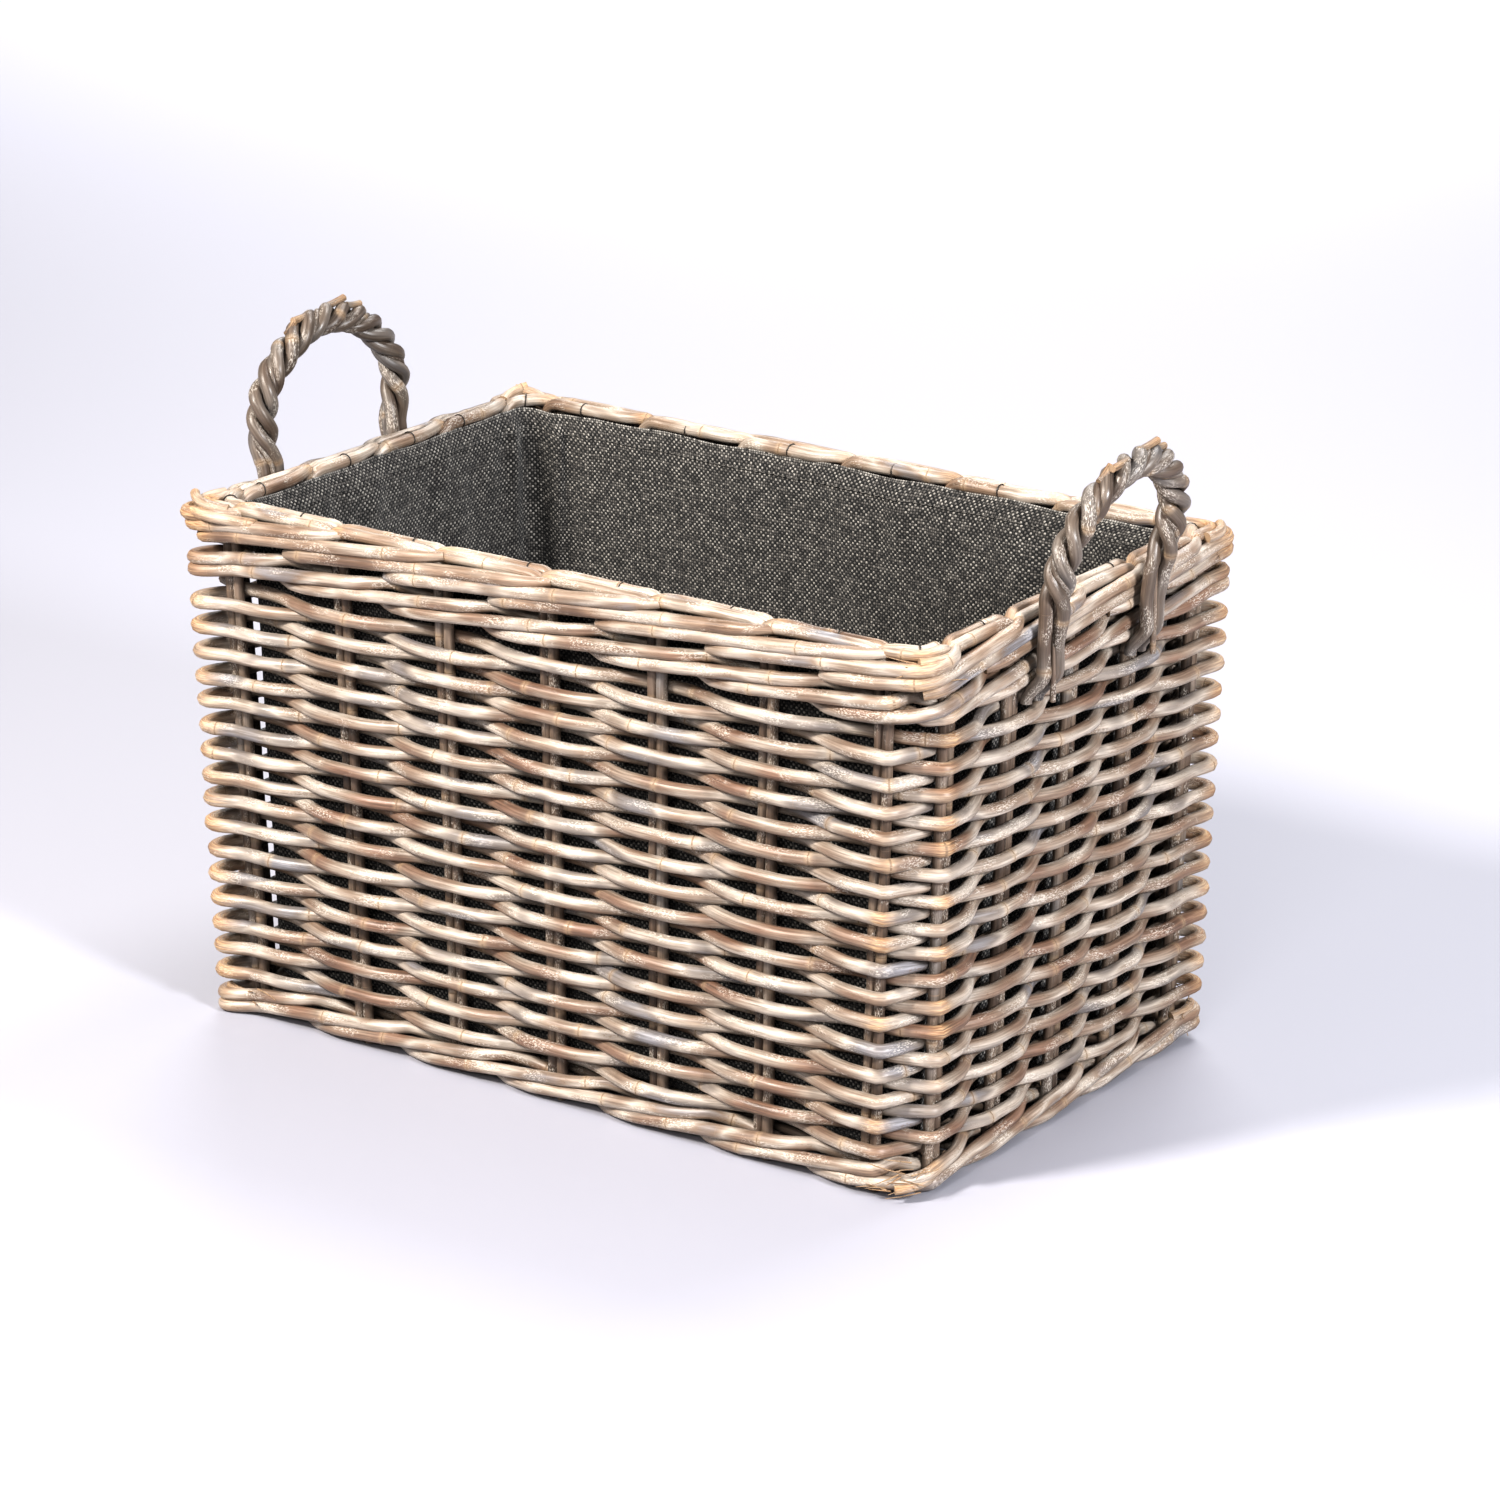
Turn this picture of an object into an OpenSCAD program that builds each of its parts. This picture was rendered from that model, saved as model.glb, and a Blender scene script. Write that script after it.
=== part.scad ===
// Rectangular log basket of woven cane, with two roped hoop handles and a cloth liner.
// Frame: X along the basket, Y across it, Z up. The origin is the middle of the underside.

/* [Body] */
// Length of the wall over the weave at the rim
rim_l = 600; // [480:10:720]
// Width of the wall over the weave at the rim
rim_w = 364; // [300:4:440]
// Height from the floor to the top of the border
body_h = 365; // [300:5:440]
// Length at the floor as a share of the length at the rim
foot_share_l = 0.96; // [0.92:0.01:1]
// Width at the floor as a share of the width at the rim
foot_share_w = 0.98; // [0.92:0.01:1]
// Radius of the wall's middle line at a corner
corner_r = 18; // [16:1:34]

/* [Stakes and weavers] */
// Pairs of stakes on a long side
stakes_long = 7; // [7, 10]
// Pairs of stakes on a short side
stakes_short = 5; // [5, 8]
// Diameter of a stake
stake_d = 6.5; // [5:0.1:8]
// Thickness and height of a weaver
weaver_d = 8.4; // [7:0.1:10.5]
// Diameter of a wale rod and of a border cane
rod_d = 8; // [6.5:0.1:9.6]
// Length of wall, to each side of a stake, along which a weaver lies flat
flat_half = 9.5; // [8.5:0.5:12]

/* [Base] */
// Thickness of a base weaver
base_weaver_t = 5.5; // [4:0.5:7]
// Width of a base weaver
base_weaver_w = 7.5; // [6:0.5:10]

/* [Handles] */
// Width of the left handle between the middles of its legs
left_handle_w = 132; // [128:1:150]
// Width of the right handle between the middles of its legs
right_handle_w = 118; // [90:1:121]
// Rise of the left handle's middle line over the border
left_handle_rise = 88; // [80:1:110]
// Rise of the right handle's middle line over the border
right_handle_rise = 88; // [80:1:120]
// Distance of the left handle's middle from the middle of its side, towards the back
left_handle_shift = -16; // [-16:1:-12]
// Distance of the right handle's middle from the middle of its side, towards the back
right_handle_shift = 0; // [-1:0.5:1]
// Share by which a handle is wider half-way up than where its legs are straight
handle_swell = 0.1; // [0:0.01:0.14]
// Outward lean of the left handle, in degrees
left_handle_lean = 1; // [0:1:15]
// Outward lean of the right handle, in degrees
right_handle_lean = 13; // [0:1:15]
// Diameter of the core bow
core_d = 4; // [3:0.1:5]
// Diameter of a strand
strand_d = 8.2; // [6:0.1:8.8]
// Length of rope in which a strand goes round the core once
strand_lead = 56; // [46:1:70]
// Length of a leg below the top of the border
leg_l = 58; // [50:1:64]

/* [Liner] */
// Thickness of the liner's cloth
cloth_t = 1.5; // [1:0.1:3]
// Drop of the liner's edge below the underside of the rim canes
liner_drop = 1; // [0.5:0.1:6]
// Diameter of a tie's wire
tie_d = 1.2; // [0.8:0.1:2]

/* [Hidden] */
// Clearance between two pieces that lie against each other
clear = 0.3;
// Gap at a cut end
end_gap = 0.5;
// Sides of a swept cane
cane_sides = 6;
// Strands in a handle
strand_count = 3;
// Rods in a wale
wale_rods = 3;
$fn = 32;

stake_r = stake_d / 2;
rod_r = rod_d / 2;
stake_clear = 0.2;
// Distance from the wall's middle line to the middle of a weaver, a wale rod or a border cane
weaver_out = stake_r + stake_clear + weaver_d / 2;
rod_out = stake_r + clear + rod_r;
border_out = max(rod_out, rod_d + 0.2);
rim_cane_in = -(stake_r + stake_clear + rod_r);
wall_out = stake_r + stake_clear + weaver_d;

rim_half_l = rim_l / 2 - wall_out;
rim_half_w = rim_w / 2 - wall_out;

// Heights, from the floor up and from the border down
wale_step = rod_d + clear;
wale_rise = 2 * wale_step;
foot_wale_low = clear + rod_r;
weave_low = foot_wale_low + wale_rise + rod_r + clear;
rim_cane_z = body_h - rod_r;
stroke_high = rim_cane_z - 1.5;
stroke_low = stroke_high - 2.05 * wale_step;
top_wale_high = stroke_low - rod_d - clear;
top_wale_low = top_wale_high - wale_rise;
tuck_z = top_wale_low - rod_r - clear - core_d / 2;
weave_high = tuck_z - core_d / 2 - clear;
rounds = floor((weave_high - weave_low) / (2 * (weaver_d + clear)));
row_pitch = (weave_high - weave_low) / (2 * rounds);
stake_top = body_h - 1;

// Distance from the middle of a corner pair to the corner of the wall's middle line
corner_inset = corner_r + flat_half;
corner_l = 2 * flat_half + PI * corner_r / 2;

// Stations round the wall are counted in stakes, from the front left corner, anticlockwise from above
half_turn = stakes_long + stakes_short;
whole_turn = 2 * half_turn;
last_long = stakes_long - 1;

base_mid_z = base_weaver_t + stake_clear + stake_r;
base_top = base_mid_z + stake_r + stake_clear + base_weaver_t;
liner_out = -(max(wall_out, rod_out + rod_r) + clear + 0.4);
liner_top = body_h - rod_d - liner_drop;

function round_name(i) = str("weaver_round_", i < 10 ? "0" : "", i);

// ---- The wall's middle line ----

function half_l(z) = rim_half_l * (foot_share_l + (1 - foot_share_l) * z / body_h);
function half_w(z) = rim_half_w * (foot_share_w + (1 - foot_share_w) * z / body_h);
function straight_l(z) = half_l(z) - corner_inset;
function straight_w(z) = half_w(z) - corner_inset;
function wrap(s, turn) = s - turn * floor(s / turn);

// A corner that starts at the origin along X and turns towards Y, at a share t of its length
function corner(t, out) =
    let (d = t * corner_l - flat_half, turn = 90 * d / (PI * corner_r / 2), r = corner_r + out)
    turn < 0 ? [t * corner_l, -out] :
    turn < 90 ? [flat_half + r * sin(turn), corner_r - r * cos(turn)] :
    [corner_inset + out, corner_inset - (1 - t) * corner_l];

// A point on the first half of the wall, from the front left stake to the back right corner
function half_wall(u, z, out) =
    let (a = straight_l(z), b = straight_w(z))
    u < last_long ? [-a + 2 * a * u / last_long, -half_w(z) - out] :
    u < stakes_long ? [a, -half_w(z)] + corner(u - last_long, out) :
    u < half_turn - 1 ?
        [half_l(z) + out, -b + 2 * b * (u - stakes_long) / (stakes_short - 1)] :
    let (p = corner(u - half_turn + 1, out)) [half_l(z) - p.y, b + p.x];

// The point at station s and height z, moved outwards by out
function on_wall(s, z, out) =
    let (u = wrap(s, whole_turn))
    u < half_turn ? half_wall(u, z, out) : -half_wall(u - half_turn, z, out);

function wall_3d(s, z, out) = concat(on_wall(s, z, out), [z]);

// Length of wall between stake k and the next one
function bay_l(k) =
    let (u = wrap(k, half_turn))
    u == last_long || u == half_turn - 1 ? corner_l :
    u < last_long ? 2 * straight_l(0) / last_long : 2 * straight_w(0) / (stakes_short - 1);

function is_corner_bay(k) = wrap(k, half_turn) == last_long || wrap(k, half_turn) == half_turn - 1;

// Direction of the wall at stake k
function along(k) =
    let (u = wrap(k, whole_turn), side = u < half_turn ? 1 : -1)
    side * (wrap(u, half_turn) < stakes_long ? [1, 0] : [0, 1]);

// Stations at which a cane's course between stake k and the next one is sampled
function bay_stations(k) =
    let (e = flat_half / bay_l(k))
    is_corner_bay(k) ? [k + e, k + 0.4, k + 0.5, k + 0.6, k + 1 - e] : [k + e, k + 0.5, k + 1 - e];

// How far a cane is in front (1) or behind (-1) at station s, when front(k) says it for stake k
function swing(s, kind, phase) =
    let (k = floor(s), e = flat_half / bay_l(k))
    let (t = max(0, min(1, (s - k - e) / (1 - 2 * e))))
    (1 - t) * front(k, kind, phase) + t * front(k + 1, kind, phase);

function front(k, kind, phase) =
    kind == "weaver" ? (wrap(k + phase, 2) == 0 ? 1 : -1) :
    (wrap(k - phase, wale_rods) == 0 ? -1 : 1);

// ---- Building blocks ----

function unit(v) = v / norm(v);
function square_to(v, t) = unit(v - t * (v * t));

// A round cane swept along points, with a ring at each point; refs give a sideways direction for each ring
module sweep(points, refs, d, sides) {
    last = len(points) - 1;
    rings = [for (i = [0 : last])
        let (t = unit(points[min(i + 1, last)] - points[max(i - 1, 0)]))
        let (a = square_to(refs[i], t), b = cross(t, a))
        for (k = [0 : sides - 1])
            points[i] + d / 2 * (cos(360 * k / sides) * a + sin(360 * k / sides) * b)];
    walls = [for (i = [0 : last - 1]) for (k = [0 : sides - 1])
        let (p = i * sides + k, q = i * sides + (k + 1) % sides)
        for (half = [0, 1])
            half == 0 ? [p, p + sides, q + sides] : [p, q + sides, q]];
    start = [[for (k = [0 : sides - 1]) k]];
    end = [[for (k = [sides - 1 : -1 : 0]) last * sides + k]];
    polyhedron(rings, concat(start, walls, end));
}

// A straight round cane from p to q
module cane(p, q, d) {
    v = q - p;
    translate(p) rotate([0, acos(v.z / norm(v)), atan2(v.y, v.x)]) cylinder(h = norm(v), d = d);
}

// ---- Base ----

// Half the length that a stick or weaver may have at a distance across, inside the rounded corners
function inner_reach(across, along_half, across_half) =
    let (r = corner_r - rod_out - rod_r - 2 * clear, over = across - (across_half - corner_r))
    over <= 0 ? along_half - corner_r + r : along_half - corner_r + sqrt(max(0, r * r - over * over));

function stick_x(k, side) = on_wall(k, 0, 0).x + side * (stake_d + clear) / 2;

module base_sticks() {
    color("#b08d5f")
    for (k = [0 : last_long]) for (side = [-1, 1]) {
        x = stick_x(k, side);
        reach = inner_reach(abs(x), half_w(0), half_l(0));
        cane([x, -reach, base_mid_z], [x, reach, base_mid_z], stake_d);
    }
}

base_flat = stake_d + clear + 4;
base_pitch = base_weaver_w + clear;
base_reach = corner_r - rod_out - rod_r - 2 * clear;
base_weaver_last_y = half_w(0) - corner_r + base_reach * 0.85 - base_weaver_w / 2;
base_weavers_each_side = floor(base_weaver_last_y / base_pitch);

// The side view of a base weaver that goes over every second pair of sticks
function base_course(m, reach, up) =
    let (mid = stake_r + stake_clear + base_weaver_t / 2)
    let (lift = function (k) wrap(k + m, 2) == 0 ? mid : -mid)
    concat(
        [[-reach, base_mid_z + lift(0) + up]],
        [for (k = [0 : last_long]) for (side = [-1, 1])
            if (abs(on_wall(k, 0, 0).x + side * base_flat) < reach)
                [on_wall(k, 0, 0).x + side * base_flat, base_mid_z + lift(k) + up]],
        [[reach, base_mid_z + lift(last_long) + up]]
    );

function reversed(list) = [for (i = [len(list) - 1 : -1 : 0]) list[i]];

module base_weavers() {
    color("#c8ad80")
    for (m = [-base_weavers_each_side : base_weavers_each_side]) {
        across = abs(m * base_pitch) + base_weaver_w / 2;
        reach = inner_reach(across, half_l(0), half_w(0));
        upper = base_course(m, reach, base_weaver_t / 2);
        lower = base_course(m, reach, -base_weaver_t / 2);
        translate([0, m * base_pitch + base_weaver_w / 2, 0]) rotate([90, 0, 0])
            linear_extrude(base_weaver_w) polygon(concat(upper, reversed(lower)));
    }
}

// ---- Wall ----

// The pairs of stakes from stake first to stake last
module stakes(first, last) {
    color("#a98960")
    for (k = [first : last]) for (side = [-1, 1]) {
        shift = side * (stake_d + clear) / 2 * concat(along(k), [0]);
        cane(wall_3d(k, clear, 0) + shift, wall_3d(k, stake_top, 0) + shift, stake_d);
    }
}

module front_stakes() { stakes(0, last_long); }
module right_stakes() { stakes(stakes_long, half_turn - 1); }
module back_stakes() { stakes(half_turn, half_turn + last_long); }
module left_stakes() { stakes(half_turn + stakes_long, whole_turn - 1); }

// The stake of the back, behind which the cane of a row begins and ends
function joint_stake(row) =
    let (k = half_turn + 1 + 2 * (floor(row / 2) % 2))
    front(k, "weaver", row) < 0 ? k : k + 1;

// One row of the weave: a single cane once round the wall
module weaver_row(row) {
    z = weave_low + (row + 0.5) * row_pitch;
    k0 = joint_stake(row);
    gap = end_gap / bay_l(k0);
    stations = concat(
        [k0 + gap],
        [for (k = [k0 : k0 + whole_turn - 1]) each bay_stations(k)],
        [k0 + whole_turn - gap]
    );
    outer = [for (s = stations) on_wall(s, z, weaver_out * swing(s, "weaver", row) + weaver_d / 2)];
    inner = [for (s = stations) on_wall(s, z, weaver_out * swing(s, "weaver", row) - weaver_d / 2)];
    translate([0, 0, z - weaver_d / 2]) linear_extrude(weaver_d)
        polygon(concat(outer, reversed(inner)));
}

// The two canes that chase each other round the wall
module weaver_round(i) {
    color(i % 2 == 0 ? "#cdb793" : "#bfa67d") {
        weaver_row(2 * i - 2);
        weaver_row(2 * i - 1);
    }
}

// Height of a wale rod over its lowest place, at station s
function wale_lift(s, phase) =
    let (u = wrap(s - phase, wale_rods))
    u < 0.5 ? wale_rise * (0.5 - u) :
    u > wale_rods - 0.5 ? wale_rise * (1 - (u - wale_rods + 0.5)) :
    wale_rise * (u - 0.5) / (wale_rods - 1);

// A wale rod goes in front of two stakes, rising over the other rods, and behind the third, dropping
module wale_rod(phase, low) {
    k0 = half_turn + phase;
    gap = end_gap / bay_l(k0);
    stations = concat(
        [k0 + gap],
        [for (k = [k0 : k0 + whole_turn - 1]) each bay_stations(k)],
        [k0 + whole_turn - gap]
    );
    points = [for (s = stations)
        wall_3d(s, low + wale_lift(s, phase), rod_out * swing(s, "wale", phase))];
    color("#b99a6c") sweep(points, [for (s = stations) [0, 0, 1]], rod_d, cane_sides);
}

module foot_wale_rod(r) { wale_rod(r - 1, foot_wale_low); }
module top_wale_rod(r) { wale_rod(r - 1, top_wale_low); }

// ---- Border ----

// Canes that slope down the outside of the border, each in front of two stakes
module border_canes() {
    color("#d2bd98")
    for (k = [0 : whole_turn - 1]) {
        stations = [for (bay = [k - 3 : k - 1]) for (share = [0, 0.25, 0.5, 0.75])
            if (bay + share > k - 2.3 && bay + share <= k - 0.25) bay + share];
        points = [for (s = stations)
            wall_3d(s, stroke_high - (k - 0.25 - s) * wale_step, border_out)];
        sweep(points, [for (s = stations) [0, 0, 1]], rod_d, cane_sides);
    }
}

// Canes along the inside of the rim, one from each stake to the next
function rim_cane_end(k, share) =
    is_corner_bay(k) ? wall_3d(k + share, rim_cane_z, rim_cane_in) :
    (1 - share) * wall_3d(k, rim_cane_z, rim_cane_in) + share * wall_3d(k + 1, rim_cane_z, rim_cane_in);

module rim_canes() {
    color("#d8c4a0")
    for (k = [0 : whole_turn - 1]) {
        share = is_corner_bay(k) ? 0.2 : 0.03;
        cane(rim_cane_end(k, share), rim_cane_end(k, 1 - share), rod_d);
    }
}

// ---- Handles ----

rope_r = core_d / 2 + clear + strand_d;
wind_r = core_d / 2 + clear + strand_d / 2;
rope_out = border_out + rod_r + clear + rope_r;
// Radius of the bend at which the core turns in under the top wale
core_bend = 6;
// Distance along a handle's middle line at which its strands begin, clear of the bend
strand_start = leg_l - (body_h - tuck_z) + core_bend + strand_d / 2;

// Point of a hoop with straight legs at distance d along it, as [across, up over the border]
function hoop(d, w, rise) =
    let (r = w / 2, post = leg_l + rise - r, arc = PI * r)
    d < post ? [-r, d - leg_l] :
    d < post + arc ? [-r * cos(180 * (d - post) / arc), rise - r + r * sin(180 * (d - post) / arc)] :
    [r, rise - r - (d - post - arc)];

// Point of a handle's middle line: the hoop, swelling out half-way up
function bow(d, w, rise) =
    let (p = hoop(d, w, rise))
    [p.x * (1 + handle_swell * sin(180 * max(0, p.y) / rise)), p.y];

function bow_l(w, rise) = 2 * (leg_l + rise - w / 2) + PI * w / 2;

// Direction in the bow's plane that points away from the gap
function bow_normal(d, w, rise) =
    let (r = w / 2, post = leg_l + rise - r, arc = PI * r)
    let (turn = 180 * max(0, min(1, (d - post) / arc)))
    [-cos(turn), sin(turn)];

// From the handle's plane to the basket: side is -1 at the left and 1 at the right
function on_handle(side, p, out, lean) =
    [side * (rim_half_l + rope_out + out + tan(lean) * max(0, p.y)), p.x + handle_shift(side), body_h + p.y];

function handle_shift(side) = side < 0 ? left_handle_shift : right_handle_shift;

// The core bow, with its ends bent in under the top wale
module handle_core(side, w, rise, lean) {
    foot = [for (t = [0, 45, 90]) core_bend * [1 - sin(t), 1 - cos(t)]];
    low = tuck_z - body_h;
    in_end = -(rope_out + stake_r + weaver_d / 2);
    tuck_points = concat([[in_end, 0]], [for (p = foot) [-p.x, p.y]]);
    first = [for (p = tuck_points) on_handle(side, [-w / 2, low + p.y], p.x, lean)];
    last = [for (p = reversed(tuck_points)) on_handle(side, [w / 2, low + p.y], p.x, lean)];
    total = bow_l(w, rise);
    middle = [for (d = [2 : (total - 4) / 36 : total - 2])
        on_handle(side, bow(d, w, rise), 0, lean)];
    points = concat(first, middle, last);
    color("#a98960") sweep(points, [for (p = points) [side * 0.2, 1, 0.1]], core_d, 8);
}

// A strand wound round the core
module handle_strand(side, w, rise, lean, q) {
    total = bow_l(w, rise) - 2 * strand_start;
    turns = total / strand_lead;
    rings = ceil(turns * 10);
    distances = [for (i = [0 : rings]) strand_start + total * i / rings];
    angles = [for (i = [0 : rings]) 360 * (q / strand_count + side * turns * i / rings)];
    middles = [for (d = distances) on_handle(side, bow(d, w, rise), 0, lean)];
    points = [for (i = [0 : rings])
        let (n = bow_normal(distances[i], w, rise), c = wind_r * cos(angles[i]))
        on_handle(side, bow(distances[i], w, rise) + c * n, wind_r * sin(angles[i]), lean)];
    color("#c4a475")
        sweep(points, [for (i = [0 : rings]) points[i] - middles[i]], strand_d, cane_sides);
}

module left_handle_core() {
    handle_core(-1, left_handle_w, left_handle_rise, left_handle_lean);
}
module right_handle_core() {
    handle_core(1, right_handle_w, right_handle_rise, right_handle_lean);
}
module left_handle_strand(q) {
    handle_strand(-1, left_handle_w, left_handle_rise, left_handle_lean, q);
}
module right_handle_strand(q) {
    handle_strand(1, right_handle_w, right_handle_rise, right_handle_lean, q);
}

// ---- Liner ----

liner_low = base_top + clear + cloth_t + clear;

// A side panel of the bag, from the middle of one corner to the middle of the next
module liner_panel(first, last) {
    trim = 0.01;
    lead = flat_half / corner_l;
    stations = [first - 0.5 + trim, first - 0.35, first - lead, last + lead, last + 0.35, last + 0.5 - trim];
    n = len(stations);
    points = [for (z = [liner_low, liner_top]) for (out = [liner_out, liner_out - cloth_t])
        for (s = stations) wall_3d(s, z, out)];
    // Corners of the panel's section at a station: low outer, low inner, high inner, high outer
    corner = [0, n, 3 * n, 2 * n];
    walls = [for (i = [0 : n - 2]) for (c = [0 : 3])
        let (p = corner[c] + i, q = corner[(c + 1) % 4] + i)
        for (half = [0, 1])
            half == 0 ? [p, p + 1, q + 1] : [p, q + 1, q]];
    ends = [[for (c = [0 : 3]) corner[c]], [for (c = [3 : -1 : 0]) corner[c] + n - 1]];
    color("#3a3632") polyhedron(points, concat(walls, ends));
}

module liner_front() { liner_panel(0, last_long); }
module liner_right() { liner_panel(stakes_long, half_turn - 1); }
module liner_back() { liner_panel(half_turn, half_turn + last_long); }
module liner_left() { liner_panel(half_turn + stakes_long, whole_turn - 1); }

module liner_base() {
    z = base_top + clear;
    stations = [for (k = [0 : whole_turn - 1])
        each (is_corner_bay(k) ? [k, k + 0.2, k + 0.35, k + 0.5, k + 0.65, k + 0.8] : [k])];
    color("#33302c") translate([0, 0, z]) linear_extrude(cloth_t)
        polygon([for (s = stations) on_wall(s, z, liner_out)]);
}

// A loop of wire round each rim cane, sewn to the edge of the liner
module liner_ties() {
    color("#2a2622")
    for (k = [0 : whole_turn - 1]) {
        p = rim_cane_end(k, 0.2);
        q = rim_cane_end(k, 0.8);
        v = q - p;
        translate(p + v * (is_corner_bay(k) ? 0.5 : 0.75)) rotate([0, 90, atan2(v.y, v.x)])
            rotate_extrude() translate([rod_r + clear + tie_d / 2, 0]) circle(d = tie_d);
    }
}

// ---- Nodes ----

base_sticks();
base_weavers();
front_stakes();
right_stakes();
back_stakes();
left_stakes();
for (r = [1 : wale_rods]) {
    foot_wale_rod(r);
    top_wale_rod(r);
}
for (i = [1 : rounds])
    weaver_round(i);
border_canes();
rim_canes();
left_handle_core();
right_handle_core();
for (q = [1 : strand_count]) {
    left_handle_strand(q);
    right_handle_strand(q);
}
liner_front();
liner_right();
liner_back();
liner_left();
liner_base();
liner_ties();
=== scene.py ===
"""A rectangular log basket of woven cane, with two roped hoop handles and a cloth liner."""

import math

import bpy
import numpy as np
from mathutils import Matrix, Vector
from numpy.random import default_rng


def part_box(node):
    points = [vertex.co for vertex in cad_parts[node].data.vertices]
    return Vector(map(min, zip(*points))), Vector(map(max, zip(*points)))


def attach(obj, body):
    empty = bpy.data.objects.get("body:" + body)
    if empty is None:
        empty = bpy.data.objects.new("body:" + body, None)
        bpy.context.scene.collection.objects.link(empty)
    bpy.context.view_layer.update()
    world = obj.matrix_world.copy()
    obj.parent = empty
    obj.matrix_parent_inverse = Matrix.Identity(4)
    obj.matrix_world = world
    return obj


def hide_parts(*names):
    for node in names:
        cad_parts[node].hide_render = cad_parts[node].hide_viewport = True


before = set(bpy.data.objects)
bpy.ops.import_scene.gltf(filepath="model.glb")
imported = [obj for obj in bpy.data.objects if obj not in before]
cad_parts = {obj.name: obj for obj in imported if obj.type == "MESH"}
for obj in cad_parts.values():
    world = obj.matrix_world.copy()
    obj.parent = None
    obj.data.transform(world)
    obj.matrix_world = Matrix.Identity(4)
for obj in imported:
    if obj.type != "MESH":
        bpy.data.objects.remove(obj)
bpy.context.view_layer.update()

# ---- Sizes, in metres ----

MM = 0.001
STAKE_D = 6.5 * MM
WEAVER_D = 8.4 * MM
ROD_D = 8 * MM
FLAT = 9.5 * MM  # length to each side of a stake along which a weaver lies flat
CORNER_R = 18 * MM
STAKE_OUT = STAKE_D / 2 + 0.2 * MM
WEAVER_OUT = STAKE_OUT + WEAVER_D / 2
ROD_OUT = STAKE_D / 2 + 0.3 * MM + ROD_D / 2
WALL_OUT = STAKE_OUT + WEAVER_D
WALE_STEP = ROD_D + 0.3 * MM

LAST_LONG = 6  # stakes 0 to 6 stand along the front
FIRST_SHORT = 7  # stakes 7 to 11 stand along the right side
SHORT_BAYS = 4
HALF_TURN = 12
TURN = 24
ROUNDS = 16

ROUND_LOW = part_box("weaver_round_01")
ROUND_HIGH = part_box(f"weaver_round_{ROUNDS:02d}")
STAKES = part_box("front_stakes")
FOOT_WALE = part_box("foot_wale_rod_1")
TOP_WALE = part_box("top_wale_rod_1")
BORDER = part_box("border_canes")
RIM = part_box("rim_canes")
LINER_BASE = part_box("liner_base")
LINER_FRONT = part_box("liner_front")

INSET = CORNER_R + FLAT
CORNER_L = 2 * FLAT + math.pi * CORNER_R / 2
FOLD_AT = 0.46  # share of a sharp corner's bay at which canes fold
LEFT_PEAK, RIGHT_PEAK = 13 * MM, 9 * MM  # how far a fold stands out at the two sharp corners
STAKE_SHIFT = {0: -0.18, HALF_TURN - 1: 0.18}  # stakes that stand nearer to a sharp corner
END_GAP = 0.7 * MM  # from a cane's end to the middle of the stake it stops behind
BAY_STEPS = 12
RIM_Z = (RIM[0].z + RIM[1].z) / 2
RIM_IN = -7.45 * MM  # the rim canes lie inside the wall's middle line
BODY_H = BORDER[1].z + 1.5 * MM


# ---- The wall's middle line ----

def between_rounds(low, high, z):
    """A half size of the wall's middle line at height z, from the lowest and highest round."""
    z_low, z_high = ROUND_LOW[1].z - WEAVER_D / 2, ROUND_HIGH[1].z - WEAVER_D / 2
    return low + (high - low) * (z - z_low) / (z_high - z_low) - WALL_OUT


def half_l(z):
    return between_rounds(ROUND_LOW[1].x, ROUND_HIGH[1].x, z)


def half_w(z):
    return between_rounds(ROUND_LOW[1].y, ROUND_HIGH[1].y, z)


def corner(t, out):
    """A corner from the origin along X, turning towards Y, at a share t of its length."""
    turn = np.clip((t * CORNER_L - FLAT) / CORNER_R, 0, math.pi / 2)
    r = CORNER_R + out
    x = np.where(t * CORNER_L < FLAT, t * CORNER_L, FLAT + r * np.sin(turn))
    y = CORNER_R - r * np.cos(turn)
    y = y + np.maximum(0, (t - 1) * CORNER_L + FLAT)
    return x, y


def wall(s, z, out):
    """Points at stations s, counted in stakes from the front left corner, moved outwards by out."""
    s, z, out = np.broadcast_arrays(*(np.asarray(v, float) for v in (s, z, out)))
    u = np.mod(s, TURN)
    side = np.where(u < HALF_TURN, 1.0, -1.0)
    u = np.mod(u, HALF_TURN)
    hl, hw = half_l(z), half_w(z)
    a, b = hl - INSET, hw - INSET
    fx, fy = corner(np.clip(u - LAST_LONG, 0, 1), out)
    bx, by = corner(np.clip(u - HALF_TURN + 1, 0, 1), out)
    places = [u < LAST_LONG, u < FIRST_SHORT, u < HALF_TURN - 1]
    along_l, along_w = 2 * a * u / LAST_LONG, 2 * b * (u - FIRST_SHORT) / SHORT_BAYS
    x = np.select(places, [-a + along_l, a + fx, hl + out], hl - by)
    y = np.select(places, [-hw - out, -hw + fy, -b + along_w], b + bx)
    return np.stack([x * side, y * side, z], -1)


def unit(ways):
    return ways / np.linalg.norm(ways, axis=-1, keepdims=True)


def eased(value, start, end):
    """A share that goes smoothly from 0 where value is start to 1 where it is end."""
    t = np.clip((value - start) / (end - start), 0, 1)
    return t * t * (3 - 2 * t)


def is_corner_bay(k):
    return np.isin(np.mod(k, HALF_TURN), (LAST_LONG, HALF_TURN - 1))


def bay_l(k):
    """Length of wall between stake k and the next one."""
    long_bay = 2 * (half_l(0) - INSET) / LAST_LONG
    short_bay = 2 * (half_w(0) - INSET) / SHORT_BAYS
    u = np.mod(k, HALF_TURN)
    return np.where(is_corner_bay(k), CORNER_L, np.where(u < LAST_LONG, long_bay, short_bay))


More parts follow.
